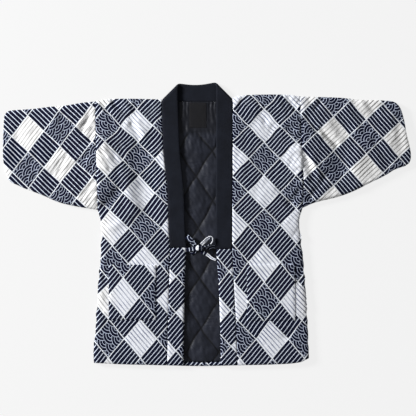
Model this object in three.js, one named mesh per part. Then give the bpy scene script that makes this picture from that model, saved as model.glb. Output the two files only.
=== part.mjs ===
// Padded hanten jacket, laid flat with its front up. Millimetres.
// +Y runs from the hem to the collar, and +Z up from the surface that it lies on.
import * as THREE from 'three';
import { mergeVertices } from 'three/addons/utils/BufferGeometryUtils.js';

// Layers, from the surface up
const seamGap = 0.3;
const backCloth = 2;
const liningGroove = 3.2;
const liningPuff = 2.8;
const liningBase = backCloth + seamGap;
const liningTop = liningBase + liningGroove + liningPuff;
const frontBase = liningTop + seamGap;
const frontThickness = 6;
const frontWidth = 200;
const bandThickness = 6.4;
const pocketThickness = 2.4;
const labelThickness = 0.8;
const sleeveThickness = 6.6;
const sleeveHollow = 0.6;
const sleeveReach = 275;
const sleeveDepth = 260;

// The collar strip, which rolls over at both neck corners
const collarWidth = 49;
const collarThickness = 6;
const collarRoll = frontBase / 2;
const collarDip = 5;
const cornerEase = 0.8;
const neckline = 368;

// Quilting of the lining: diamonds, with one crossing of their seams at quiltX, quiltY
const quiltHalfWidth = 50;
const quiltHalfHeight = 75.5;
const quiltX = -28;
const quiltY = 143;
const quiltSteps = 5;
const hemRollWidth = 12;
const rimWidth = 3;

// Outline of the garment as it lies. Each list is one smooth curve, and curves meet at corners.
const hem = [
  { x: -337.5, y: -415 }, { x: -261, y: -419 }, { x: -141, y: -422.5 }, { x: -21, y: -425 },
  { x: 99, y: -422.5 }, { x: 219, y: -419 }, { x: 279, y: -413 }, { x: 306, y: -401 },
];
const leftSide = [
  { x: -337.5, y: -415 }, { x: -339, y: -377 }, { x: -333, y: -305 }, { x: -327, y: -197 },
  { x: -319, y: -107 }, { x: -317, y: 0 }, { x: -327, y: 43 },
];
const leftArmhole = [{ x: -327, y: 43 }, { x: -335, y: 368 }];
const rightSide = [
  { x: 306, y: -401 }, { x: 303, y: -347 }, { x: 297, y: -227 }, { x: 289, y: -120 },
  { x: 280, y: -40 }, { x: 276, y: 10 }, { x: 286, y: 49 },
];
const rightArmhole = [
  { x: 286, y: 49 }, { x: 289, y: 127 }, { x: 285, y: 215 }, { x: 281, y: 310 }, { x: 278, y: 383 },
];
const leftShoulder = [
  { x: -335, y: 368 }, { x: -300, y: 374 }, { x: -240, y: 376 }, { x: -136.3, y: 374 },
];
const rightShoulder = [
  { x: 77.3, y: 379 }, { x: 99, y: 385 }, { x: 150, y: 388 }, { x: 234, y: 388 }, { x: 278, y: 383 },
];

// Where the fronts are sewn to the collar and to the bands below it
const leftCollarSeam = [
  { x: -110, y: -70 }, { x: -114, y: -20 }, { x: -118, y: 100 }, { x: -130, y: 223 }, { x: -136, y: 373 },
];
const rightCollarSeam = [{ x: 75, y: -74 }, { x: 76, y: 120 }, { x: 77, y: 376 }];
const leftBandSeam = [
  { x: -119, y: -422.5 }, { x: -116, y: -287 }, { x: -111, y: -113 }, { x: -110, y: -70 },
];
const rightBandSeam = [{ x: 91, y: -422.5 }, { x: 86, y: -287 }, { x: 80, y: -182 }, { x: 75, y: -74 }];
const leftBandEdge = [{ x: -70, y: -422.5 }, { x: -69, y: -317 }, { x: -66, y: -167 }, { x: -62, y: -70 }];
const rightBandEdge = [{ x: 41, y: -422.5 }, { x: 40, y: -317 }, { x: 35, y: -182 }, { x: 28, y: -74 }];

// Sleeves: fold along the top, fold along the underside, and the cuff
const leftSleeveTop = [
  { x: -607, y: 325 }, { x: -600, y: 336 }, { x: -585, y: 341 }, { x: -519, y: 346 },
  { x: -471, y: 352 }, { x: -423, y: 356 }, { x: -375, y: 364 }, { x: -335, y: 368 },
];
const leftSleeveUnder = [
  { x: -595, y: 135 }, { x: -585, y: 125 }, { x: -567, y: 117 }, { x: -543, y: 106 },
  { x: -495, y: 88 }, { x: -447, y: 67 }, { x: -399, y: 55 }, { x: -327, y: 43 },
];
const leftCuff = [
  { x: -595, y: 135 }, { x: -601, y: 152 }, { x: -607, y: 175 }, { x: -610.5, y: 205 },
  { x: -610, y: 265 }, { x: -607, y: 325 },
];
const rightSleeveTop = [
  { x: 278, y: 383 }, { x: 309, y: 382 }, { x: 399, y: 379 }, { x: 459, y: 373 },
  { x: 543, y: 370 }, { x: 564, y: 365 }, { x: 574, y: 356 },
];
const rightSleeveUnder = [
  { x: 286, y: 49 }, { x: 321, y: 64 }, { x: 393, y: 82 }, { x: 441, y: 100 },
  { x: 489, y: 124 }, { x: 537, y: 148 }, { x: 561, y: 163 }, { x: 595, y: 175 },
];
const rightCuff = [
  { x: 595, y: 175 }, { x: 606, y: 185 }, { x: 610.5, y: 205 }, { x: 606, y: 235 },
  { x: 597, y: 271 }, { x: 591, y: 307 }, { x: 582, y: 340 }, { x: 574, y: 356 },
];

// Pieces that lie on the panels
const pockets = [
  { name: 'pocket_left', left: -294, right: -153, bottom: -286, top: -121 },
  { name: 'pocket_right', left: 120, right: 264, bottom: -289, top: -119 },
];
const label = { left: -54, right: -2, bottom: 289, top: 364 };
const flatMargin = 16;
const labelPuff = 0.55;

// Rounding of padded edges: how far in it reaches, and the share of the thickness left at the edge
const rounding = {
  openEdge: { radius: 16, low: 0.3 },
  armhole: { radius: 9, low: 0.6 },
  frontSeam: { radius: 8, low: 0.65 },
  bandSeam: { radius: 8, low: 0.7 },
  bandEdge: { radius: 8, low: 0.4 },
  hem: { radius: 10, low: 0.45 },
  sleeveEnd: { radius: 9, low: 0.84 },
  sleeveFold: { radius: 11, low: 0 },
  sleeveHollow: { radius: 14, low: 0 },
  patch: { radius: 5, low: 0.5 },
};

// Largest folds: ridges where height is above zero and troughs where it is below
const bodyFolds = [
  { x1: -321, y1: 238, x2: -285, y2: 157, width: 9, height: -2.4 },
  { x1: -231, y1: 307, x2: -198, y2: 253, width: 10, height: -2.4 },
  { x1: -291, y1: 375, x2: -216, y2: 313, width: 9, height: -2.2 },
  { x1: -258, y1: 378, x2: -225, y2: 330, width: 9, height: 1.8 },
  { x1: -318, y1: 40, x2: -250, y2: 120, width: 12, height: -2.2 },
  { x1: -305, y1: -20, x2: -215, y2: 30, width: 14, height: 1.6 },
  { x1: 150, y1: 345, x2: 180, y2: 300, width: 9, height: -2.2 },
  { x1: 120, y1: 380, x2: 165, y2: 330, width: 10, height: 1.8 },
  { x1: 230, y1: 258, x2: 292, y2: 170, width: 10, height: -2.6 },
  { x1: 205, y1: 250, x2: 268, y2: 160, width: 10, height: 1.6 },
  { x1: 276, y1: 40, x2: 205, y2: 115, width: 12, height: -2.2 },
  { x1: 265, y1: -25, x2: 180, y2: 20, width: 14, height: 1.6 },
];
const leftSleeveFolds = [
  { x1: -357, y1: 322, x2: -378, y2: 268, width: 10, height: -2.6 },
  { x1: -418, y1: 212, x2: -452, y2: 142, width: 12, height: -2.8 },
  { x1: -330, y1: 140, x2: -384, y2: 52, width: 11, height: -3 },
  { x1: -352, y1: 128, x2: -402, y2: 70, width: 10, height: 2 },
  { x1: -438, y1: 345, x2: -478, y2: 262, width: 14, height: 1.8 },
  { x1: -560, y1: 300, x2: -582, y2: 195, width: 13, height: -1.8 },
];
const rightSleeveFolds = [
  { x1: 288, y1: 226, x2: 330, y2: 108, width: 12, height: -3 },
  { x1: 298, y1: 62, x2: 372, y2: 165, width: 11, height: -2.6 },
  { x1: 336, y1: 300, x2: 387, y2: 250, width: 12, height: -2.4 },
  { x1: 412, y1: 362, x2: 462, y2: 262, width: 14, height: 1.8 },
  { x1: 492, y1: 256, x2: 552, y2: 174, width: 13, height: -2 },
  { x1: 540, y1: 340, x2: 566, y2: 250, width: 12, height: 1.6 },
];

// Ties and bow: routes of the strips, with turn as the tilt of their width in degrees
const tieWidth = 12;
const tieThickness = 2.4;
const knot = { x: -24, y: -71, z: 15.4, length: 20, width: 18, height: 12.6 };
const strips = [
  {
    name: 'tie_left', width: tieWidth, steps: 7,
    route: [
      { x: -61, y: -77, z: 12.8, turn: 0 }, { x: -48, y: -75, z: 13.6, turn: 0 },
      { x: -35.6, y: -72.6, z: 14.6, turn: 0 },
    ],
  },
  {
    name: 'tie_right', width: tieWidth, steps: 12,
    route: [
      { x: -17, y: -82.6, z: 14.6, turn: 0 }, { x: -7, y: -86.5, z: 12.8, turn: 0 },
      { x: 4, y: -93, z: 11, turn: 0 }, { x: 14, y: -101, z: 11, turn: 0 },
      { x: 26.6, y: -107, z: 11.4, turn: 0 },
    ],
  },
  {
    name: 'bow_loop_left', width: tieWidth, steps: 18,
    route: [
      { x: -33, y: -61.6, z: 18.4, turn: 0 }, { x: -46, y: -50, z: 19, turn: 4 },
      { x: -57, y: -39.5, z: 18, turn: 0 }, { x: -59.6, y: -37, z: 15.9, turn: 0 },
      { x: -57, y: -39.5, z: 13.8, turn: 0 }, { x: -46, y: -50.5, z: 14.2, turn: 0 },
      { x: -34.4, y: -62, z: 15.2, turn: 0 },
    ],
  },
  {
    name: 'bow_loop_right', width: 10.5, steps: 22,
    route: [
      { x: -16.4, y: -61, z: 17.8, turn: 10 }, { x: -6, y: -50, z: 18.4, turn: 20 },
      { x: 4, y: -41, z: 18, turn: 45 }, { x: 12.5, y: -36.5, z: 17.5, turn: 85 },
      { x: 17.5, y: -43, z: 17.2, turn: 95 }, { x: 14.5, y: -54, z: 17.1, turn: 90 },
      { x: 6, y: -62, z: 17.1, turn: 88 }, { x: -13.5, y: -67.6, z: 17.1, turn: 86 },
    ],
  },
  {
    name: 'bow_tail_left', width: tieWidth, steps: 7,
    route: [
      { x: -32.6, y: -78.6, z: 10.4, turn: 0 }, { x: -40, y: -82, z: 10.2, turn: 0 },
      { x: -49, y: -87.5, z: 10.1, turn: 0 },
    ],
  },
  {
    name: 'bow_tail_right', width: tieWidth, steps: 8,
    route: [
      { x: -15, y: -70, z: 10.2, turn: 0 }, { x: 0, y: -69.5, z: 10, turn: 0 },
      { x: 12, y: -69, z: 10, turn: 0 }, { x: 24, y: -68, z: 10, turn: 0 },
    ],
  },
];

// Steps of the panels' grids, and of the collar's strip
const frontGrid = { rows: 34, columns: 12 };
const backGrid = { rows: 24, leftColumns: 4, rightColumns: 5 };
const sleeveGrid = { rings: 11, upperSteps: 12, lowerSteps: 9 };
const bandRows = 12;
const pocketGrid = { rows: 2, columns: 2 };
const legSteps = 13;
const rollAngles = [-90, -60, -30, 0, 30, 60, 90];
const neckSteps = 8;

// Section of the padded hem roll: part of its width from its inner edge, and height
const rollTop = liningTop - seamGap;
const hemRollSection = [{ part: 1, z: 4 }, { part: 0.7, z: rollTop }, { part: 0.04, z: rollTop }];

// Colours of the cloths
const printCloth = { color: 0x3b415c, roughness: 0.9 };
const plainNavy = { color: 0x1c1f2b, roughness: 0.85 };
const liningCloth = { color: 0x2a2c33, roughness: 0.7 };
const labelCloth = { color: 0x17171b, roughness: 0.8 };

const clamp01 = (value) => Math.min(1, Math.max(0, value));
const mix = (a, b, t) => a + (b - a) * t;

// Smooth curve through the rows of an outline: its other coordinate at a value along axis
function smooth(rows, axis, value) {
  const other = axis === 'x' ? 'y' : 'x';
  const last = rows.length - 1;
  const after = rows.findIndex((row) => row[axis] > value);
  const k = after < 0 ? last - 1 : Math.max(0, after - 1);
  const slope = (i) => {
    const [from, to] = [rows[Math.max(0, i - 1)], rows[Math.min(last, i + 1)]];
    return (to[other] - from[other]) / (to[axis] - from[axis]);
  };
  const span = rows[k + 1][axis] - rows[k][axis];
  const t = clamp01((value - rows[k][axis]) / span);
  const ease = t * t * (3 - 2 * t);
  return mix(rows[k][other], rows[k + 1][other], ease)
    + span * t * (1 - t) * (slope(k) * (1 - t) - slope(k + 1) * t);
}

// The same along an edge made of one or more curves
function edgeAt(curves, axis, value) {
  const curve = curves.find((rows) => value <= rows.at(-1)[axis]) ?? curves.at(-1);
  return smooth(curve, axis, value);
}
const xAt = (curves, y) => edgeAt(curves, 'y', y);
const yAt = (curves, x) => edgeAt(curves, 'x', x);

// Point of an edge at t, from 0 at its start to 1 at its end along axis
function along(curves, axis, t) {
  const value = mix(curves[0][0][axis], curves.at(-1).at(-1)[axis], t);
  const other = edgeAt(curves, axis, value);
  return axis === 'x' ? { x: value, y: other } : { x: other, y: value };
}

// Edge shifted sideways
const shifted = (curves, dx) => curves.map((rows) => rows.map((row) => ({ x: row.x + dx, y: row.y })));

// Blend of four edges into a point of the cloth, u across and v along
function patchPoint(edges, u, v) {
  const left = along(edges.left, 'y', v);
  const right = along(edges.right, 'y', v);
  const low = along(edges.low, 'x', u);
  const high = along(edges.high, 'x', u);
  const lowCorners = [along(edges.left, 'y', 0), along(edges.right, 'y', 0)];
  const highCorners = [along(edges.left, 'y', 1), along(edges.right, 'y', 1)];
  const blend = (axis) => {
    const lowEnd = mix(lowCorners[0][axis], lowCorners[1][axis], u);
    const highEnd = mix(highCorners[0][axis], highCorners[1][axis], u);
    return mix(left[axis], right[axis], u) + mix(low[axis], high[axis], v) - mix(lowEnd, highEnd, v);
  };
  return { x: blend('x'), y: blend('y') };
}

// Steps from 0 to 1: even ones, or close ones at both rounded ends of a span and even ones between
const even = (count) => Array.from({ length: count + 1 }, (_, k) => k / count);
const edgeSteps = [0, 2, 6, 12];
function edged(span, count) {
  const near = edgeSteps.map((distance) => distance / span);
  const middle = even(count).slice(1, -1).map((t) => mix(near.at(-1), 1 - near.at(-1), t));
  return [...near, ...middle, ...near.map((t) => 1 - t).reverse()];
}

// Steps with the corners added, each in place of the nearest step or between two
function through(steps, corners) {
  const clear = (step) => corners.every((corner) => Math.abs(step - corner) > 0.3 / steps.length);
  const ends = [steps[0], steps.at(-1)];
  return [...new Set([...ends, ...steps.slice(1, -1).filter(clear), ...corners])].sort((a, b) => a - b);
}

// Rounded rise of a padded edge: from its low share at the edge to 1 at radius in from it
function rise(distance, { radius, low }) {
  const t = 1 - clamp01(distance / radius);
  return low + (1 - low) * Math.sqrt(1 - t * t);
}

// Height that a list of folds adds at a place
function foldHeight(folds, x, y) {
  let total = 0;
  for (const fold of folds) {
    const dx = fold.x2 - fold.x1;
    const dy = fold.y2 - fold.y1;
    const length = Math.hypot(dx, dy);
    const place = ((x - fold.x1) * dx + (y - fold.y1) * dy) / (length * length);
    const across = ((x - fold.x1) * dy - (y - fold.y1) * dx) / length;
    const taper = Math.max(0, 1 - (2 * place - 1) ** 4);
    total += fold.height * taper * Math.exp(-((across / fold.width) ** 2));
  }
  return total;
}

// True inside a box on the cloth and its flat margin
function insideBox(box, x, y) {
  const outX = Math.max(box.left - x, x - box.right, 0);
  const outY = Math.max(box.bottom - y, y - box.top, 0);
  return Math.hypot(outX, outY) < flatMargin;
}

// Faces of one grid of points, rows by cols, starting at first
function gridFaces(index, rows, cols, first, flipped) {
  for (let i = 0; i < rows - 1; i += 1) {
    for (let j = 0; j < cols - 1; j += 1) {
      const a = first + i * cols + j;
      const [b, c, d] = [a + 1, a + cols + 1, a + cols];
      const isEven = (i + j) % 2 === 0;
      const faces = isEven ? [[a, b, c], [a, c, d]] : [[a, b, d], [b, c, d]];
      for (const [p, q, r] of faces) index.push(...(flipped ? [p, r, q] : [p, q, r]));
    }
  }
}

// Places of a grid's border, counterclockwise seen from its upper side
function border(rows, cols) {
  const low = even(cols - 1).map((_, j) => j);
  const right = even(rows - 1).map((_, i) => i * cols + cols - 1).slice(1);
  const high = even(cols - 1).map((_, j) => (rows - 1) * cols + cols - 1 - j).slice(1);
  const left = even(rows - 1).map((_, i) => (rows - 1 - i) * cols).slice(1, -1);
  return [...low, ...right, ...high, ...left];
}

function geometryOf(points, index) {
  const geometry = new THREE.BufferGeometry();
  const values = points.flatMap((p) => [p.x, p.y, p.z]);
  geometry.setAttribute('position', new THREE.Float32BufferAttribute(values, 3));
  geometry.setIndex(index);
  return geometry;
}

// Closed wall between an upper and a lower grid of points
function wall(upper, lower) {
  const rows = upper.length;
  const cols = upper[0].length;
  const index = [];
  gridFaces(index, rows, cols, 0, false);
  gridFaces(index, rows, cols, rows * cols, true);
  const rim = border(rows, cols);
  rim.forEach((top, k) => {
    const nextTop = rim[(k + 1) % rim.length];
    const [bottom, nextBottom] = [top + rows * cols, nextTop + rows * cols];
    index.push(bottom, nextBottom, nextTop, bottom, nextTop, top);
  });
  return geometryOf([...upper.flat(), ...lower.flat()], index);
}

// Closed panel with a shaped top over a flat underside at height base
function slab(top, base) {
  const rows = top.length;
  const cols = top[0].length;
  const index = [];
  gridFaces(index, rows, cols, 0, false);
  const points = top.flat();
  const rim = border(rows, cols);
  const under = new Map(rim.map((id, k) => [id, points.length + k]));
  const lowered = rim.map((id) => new THREE.Vector3(points[id].x, points[id].y, base));
  rim.forEach((id, k) => {
    const next = rim[(k + 1) % rim.length];
    index.push(under.get(id), under.get(next), next, under.get(id), next, id);
  });
  const down = (a, b, c) => index.push(under.get(a), under.get(c), under.get(b));
  const place = (i, j) => i * cols + j;
  const middle = Math.floor(cols / 2);
  const last = cols - 1;
  for (let i = 1; i < rows - 2; i += 1) {
    down(place(i, 0), place(i, last), place(i + 1, last));
    down(place(i, 0), place(i + 1, last), place(i + 1, 0));
  }
  down(place(1, 0), place(0, middle), place(1, last));
  down(place(rows - 2, 0), place(rows - 2, last), place(rows - 1, middle));
  for (let j = 0; j < last; j += 1) {
    const side = j < middle ? 0 : last;
    down(place(1, side), place(0, j), place(0, j + 1));
    down(place(rows - 2, side), place(rows - 1, j + 1), place(rows - 1, j));
  }
  return geometryOf([...points, ...lowered], index);
}

// Open tube from rings of outer and inner points, its ends closed between the two skins
function tube(outer, inner) {
  const rings = outer.length;
  const count = outer[0].length;
  const index = [];
  const quad = (a, b, c, d) => index.push(a, b, c, a, c, d);
  const skin = rings * count;
  for (let i = 0; i < rings - 1; i += 1) {
    for (let j = 0; j < count; j += 1) {
      const k = (j + 1) % count;
      quad(i * count + j, i * count + k, (i + 1) * count + k, (i + 1) * count + j);
      const inside = skin + i * count;
      quad(inside + k, inside + j, inside + count + j, inside + count + k);
    }
  }
  for (let j = 0; j < count; j += 1) {
    const k = (j + 1) % count;
    const end = (rings - 1) * count;
    quad(j, skin + j, skin + k, k);
    quad(end + k, skin + end + k, skin + end + j, end + j);
  }
  return geometryOf([...outer.flat(), ...inner.flat()], index);
}

const leftEdge = [leftSide, leftArmhole];
const rightEdge = [rightSide, rightArmhole];

// Back: outer cloth, with its padded hem turned up on the inside
function backGeometry() {
  const neckLow = neckline - seamGap;
  const high = [
    leftShoulder.with(-1, { x: -138, y: 374 }), [{ x: -138, y: 374 }, { x: -136, y: neckLow }],
    [{ x: -136, y: neckLow }, { x: 77, y: neckLow }], [{ x: 77, y: neckLow }, { x: 79, y: 379 }],
    rightShoulder.with(0, { x: 79, y: 379 }),
  ];
  const raised = (row) => ({ x: row.x, y: row.y + hemRollWidth });
  const edges = {
    left: [[raised(leftSide[0]), ...leftSide.slice(1)], leftArmhole],
    right: [[raised(rightSide[0]), ...rightSide.slice(1)], rightArmhole],
    low: [hem.map(raised)],
    high,
  };
  const place = (value, from, to) => (value - from) / (to - from);
  const [leftmost, rightmost] = [leftArmhole.at(-1).x, rightArmhole.at(-1).x];
  const neckCorners = high.slice(1).map((rows) => place(rows[0].x, leftmost, rightmost));
  const across = [
    ...even(backGrid.leftColumns).map((t) => t * neckCorners[0]),
    neckCorners[1], 0.5, ...neckCorners.slice(2),
    ...even(backGrid.rightColumns).slice(1).map((t) => mix(neckCorners.at(-1), 1, t)),
  ];
  const underarms = [edges.left, edges.right].map(
    ([side, armhole]) => place(side.at(-1).y, side[0].y, armhole.at(-1).y),
  );
  const rimParts = (span) => [rimWidth / span, (0.8 * rimWidth) / span];
  const [rimU, insideU] = rimParts(rightmost - leftmost);
  const [rimV, insideV] = rimParts(leftArmhole.at(-1).y - hem[0].y);
  const columns = [0, insideU, rimU, ...across.slice(1, -1), 1 - rimU, 1 - insideU, 1];
  const rows = [...through(even(backGrid.rows), underarms).slice(0, -1), 1 - rimV, 1 - insideV, 1];
  const panel = rows.map((v) => columns.map((u) => {
    const p = patchPoint(edges, u, v);
    const onNeck = u >= neckCorners[0] && u <= neckCorners.at(-1);
    const onRim = Math.min(u, 1 - u) <= insideU || (v >= 1 - insideV && !onNeck);
    return new THREE.Vector3(p.x, p.y, onRim ? rollTop : backCloth);
  }));
  const roll = hemRollSection.map(
    ({ part, z }) => panel[0].map((p) => new THREE.Vector3(p.x, p.y - part * hemRollWidth, z)),
  );
  return slab([...roll, ...panel], 0);
}

// Height of the quilted lining: puffed diamonds between sewn lines, plain round the label
function liningHeight(x, y) {
  const a = (x - quiltX) / quiltHalfWidth + (y - quiltY) / quiltHalfHeight;
  const b = (x - quiltX) / quiltHalfWidth - (y - quiltY) / quiltHalfHeight;
  const puff = Math.sqrt(Math.abs(Math.sin((Math.PI * a) / 2) * Math.sin((Math.PI * b) / 2)));
  const quilted = insideBox(label, x, y) ? labelPuff : puff;
  return liningBase + liningGroove + liningPuff * quilted;
}

function liningGeometry() {
  const stepX = quiltHalfWidth / quiltSteps;
  const stepY = quiltHalfHeight / quiltSteps;
  const left = shifted(leftEdge, rimWidth + 5 * seamGap);
  const right = shifted(rightEdge, -rimWidth - 5 * seamGap);
  const reach = 6;
  const quiltColumns = even(2 * reach).map((t) => quiltX + (2 * t - 1) * reach * stepX);
  const sideParts = [0, 0.5, 0.85];
  const rowAt = (y, height) => {
    const [from, to] = [xAt(left, y), xAt(right, y)];
    const hidden = (x) => new THREE.Vector3(x, y, height(quiltColumns[0], y));
    return [
      ...sideParts.map((part) => hidden(mix(from, quiltColumns[0], part))),
      ...quiltColumns.map((x) => new THREE.Vector3(x, y, height(x, y))),
      ...[...sideParts].reverse().map((part) => hidden(mix(to, quiltColumns.at(-1), part))),
    ];
  };
  const aboveRoll = (x) => yAt([hem], x) + hemRollWidth + 4 * seamGap;
  const edgeHeight = () => liningBase + liningGroove + liningPuff / 2;
  const first = rowAt(aboveRoll(quiltX), edgeHeight);
  for (const p of first) p.y = Math.max(p.y, aboveRoll(p.x));
  const highestCorner = Math.max(first[0].y, first.at(-1).y);
  const rows = [first];
  const stepCount = Math.ceil((quiltY - highestCorner) / stepY);
  for (let k = -stepCount + 1; quiltY + k * stepY < neckline - stepY / 2; k += 1) {
    rows.push(rowAt(quiltY + k * stepY, liningHeight));
  }
  const last = rowAt(neckline - seamGap, edgeHeight);
  for (const p of last) {
    const shoulder = Math.min(yAt([leftShoulder], p.x), yAt([rightShoulder], p.x));
    p.y = Math.min(p.y, shoulder - rimWidth - 2 * seamGap);
  }
  return slab([...rows, last], liningBase);
}

// Front: padded panel that lies on the lining, thin at its seams and rounded at its free edges
function frontGeometry(edges, outer, pocket) {
  const inner = outer === 'left' ? 'right' : 'left';
  const low = edges[outer][0][0].y;
  const high = edges[outer].at(-1).at(-1).y;
  const corners = [...edges.left.slice(1), ...edges.right.slice(1)].map((curve) => {
    const edge = edges.left.includes(curve) ? edges.left : edges.right;
    return (curve[0].y - edge[0][0].y) / (edge.at(-1).at(-1).y - edge[0][0].y);
  });
  const underarm = edges[outer][1][0].y;
  const rows = through(edged(high - low, frontGrid.rows), corners);
  const top = rows.map((v) => edged(frontWidth, frontGrid.columns).map((u) => {
    const p = patchPoint(edges, u, v);
    const fromSide = Math.abs(p.x - xAt(edges[outer], p.y));
    const fromBand = Math.abs(p.x - xAt(edges[inner], p.y));
    const fromHem = p.y - yAt(edges.low, p.x);
    const fromShoulder = yAt(edges.high, p.x) - p.y;
    const share = rise(fromSide, p.y > underarm ? rounding.armhole : rounding.openEdge)
      * rise(fromBand, rounding.frontSeam) * rise(fromHem, rounding.hem)
      * rise(fromShoulder, rounding.openEdge);
    const folds = insideBox(pocket, p.x, p.y) ? 0 : foldHeight(bodyFolds, p.x, p.y);
    return new THREE.Vector3(p.x, p.y, frontBase + share * (frontThickness + folds));
  }));
  return slab(top, frontBase);
}

// Sleeve: flattened padded tube, its two layers lying on each other
function sleeveGeometry(edges, folds, armholeSide) {
  const height = 2 * sleeveThickness + sleeveHollow;
  const upperSteps = edged(sleeveDepth, sleeveGrid.upperSteps);
  const lowerSteps = edged(sleeveDepth, sleeveGrid.lowerSteps).slice(2, -2).reverse();
  const outer = [];
  const inner = [];
  for (const u of edged(sleeveReach, sleeveGrid.rings)) {
    const from = armholeSide === 'right' ? u : 1 - u;
    const bottom = patchPoint(edges, from, 0);
    const top = patchPoint(edges, from, 1);
    const width = Math.hypot(top.x - bottom.x, top.y - bottom.y);
    const endRise = rise(u * sleeveReach, rounding.sleeveEnd)
      * rise((1 - u) * sleeveReach, rounding.sleeveEnd);
    const ring = (steps, sign, inset) => steps.map((v) => {
      const place = mix(inset / width, 1 - inset / width, v);
      const p = patchPoint(edges, from, place);
      const fromFold = Math.min(v, 1 - v) * width;
      const round = rise(fromFold, inset > 0 ? rounding.sleeveHollow : rounding.sleeveFold);
      const half = inset > 0 ? sleeveHollow / 2 : height / 2;
      const crease = sign > 0 && inset === 0 ? foldHeight(folds, p.x, p.y) : 0;
      const rest = inset === 0 && sign > 0 ? endRise : 1;
      const z = height / 2 + sign * round * (half * rest + (sign > 0 ? crease : 0));
      return new THREE.Vector3(p.x, p.y, z);
    });
    outer.push([...ring(upperSteps, 1, 0), ...ring(lowerSteps, -1, 0)]);
    inner.push([...ring(upperSteps, 1, sleeveThickness), ...ring(lowerSteps, -1, sleeveThickness)]);
  }
  if (armholeSide === 'left') return tube(outer, inner);
  return tube([...outer].reverse(), [...inner].reverse());
}

// Collar: one strip up the left front, rolled over at the neck corner, behind the neck, and down again
function collarGeometry() {
  const shift = (Math.PI * collarRoll) / 2 / Math.SQRT2;
  const axis = (collarRoll + collarThickness / 2) * Math.SQRT2;
  const levelHeight = collarThickness / 2 + collarRoll;
  const columns = [
    { part: 0, share: 0.5 }, { part: 0.05, share: 0.9 }, { part: 0.2, share: 1 }, { part: 0.5, share: 1 },
    { part: 0.8, share: 1 }, { part: 0.95, share: 0.9 }, { part: 1, share: 0.5 },
  ];
  const cornerOf = (seam, mirror) => {
    const top = seam.at(-1);
    return { mirror, seam: [seam], corner: { x: top.x + mirror * cornerEase, y: top.y } };
  };
  const sides = {
    left: cornerOf(leftCollarSeam, 1),
    right: cornerOf(rightCollarSeam, -1),
  };
  // Points of one leg and its roll, from the leg's lower end to the neck
  const half = ({ mirror, corner, seam }, part, offset) => {
    const across = part * collarWidth;
    const points = [];
    const top = across - axis;
    for (let k = 0; k < legSteps; k += 1) {
      const y = mix(seam[0][0].y - corner.y, top, k / legSteps);
      const lean = mirror * (xAt(seam, corner.y + y) - corner.x);
      const thin = k === 0 ? 0.6 : 1;
      points.push({ x: across + lean, y, z: levelHeight + collarRoll + offset * thin });
    }
    for (const degrees of rollAngles) {
      const angle = THREE.MathUtils.degToRad(degrees);
      const sum = 2 * (across + shift) - axis + collarRoll * angle * Math.SQRT2;
      const out = ((collarRoll + offset) * Math.cos(angle)) / Math.SQRT2;
      points.push({
        x: (sum + axis) / 2 - out,
        y: (sum - axis) / 2 + out,
        z: levelHeight - (collarRoll + offset) * Math.sin(angle),
      });
    }
    return points.map((p) => new THREE.Vector3(corner.x + mirror * p.x, corner.y + p.y, p.z));
  };
  const line = (part, offset) => {
    const left = half(sides.left, part, offset);
    const right = half(sides.right, part, offset).reverse();
    const neck = even(neckSteps).slice(1, -1).map((t) => {
      const p = left.at(-1).clone().lerp(right[0], t);
      const middle = Math.sin(Math.PI * t);
      const aboveNeckline = p.y - part * collarWidth - neckline;
      p.y -= aboveNeckline * (1 - part) * Math.min(1, 2 * middle) + collarDip * part * middle;
      return p;
    });
    return [...left, ...neck, ...right];
  };
  const skin = (sign) => columns.map(({ part, share }) => line(part, (sign * share * collarThickness) / 2));
  return wall(skin(-1), skin(1));
}

// Printed band along a front's edge, below the collar
function bandGeometry(seam, edge, outer) {
  const top = seam.at(-1).y - seamGap;
  const bottom = seam[0].y;
  const columns = [0, 0.06, 0.18, 0.5, 0.82, 0.94, 1];
  const rows = edged(top - bottom, bandRows).map((v) => columns.map((u) => {
    const y = mix(bottom, top, v);
    const across = outer === 'left' ? u : 1 - u;
    const x = mix(xAt([seam], y), xAt([edge], y), across);
    const share = rise(across * collarWidth, rounding.bandSeam)
      * rise((1 - across) * collarWidth, rounding.bandEdge);
    return new THREE.Vector3(x, y, frontBase + bandThickness * share * rise(y - bottom, rounding.hem));
  }));
  return slab(rows, frontBase);
}

// Flat piece that lies on a panel at height base, with softly rounded edges
function patchGeometry(box, base, thickness, { rows, columns }) {
  const across = edged(box.right - box.left, columns);
  const top = edged(box.top - box.bottom, rows).map((v) => across.map((u) => {
    const x = mix(box.left, box.right, u);
    const y = mix(box.bottom, box.top, v);
    const edge = Math.min(x - box.left, box.right - x, y - box.bottom, box.top - y);
    return new THREE.Vector3(x, y, base + thickness * rise(edge, rounding.patch));
  }));
  return slab(top, base);
}

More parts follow.
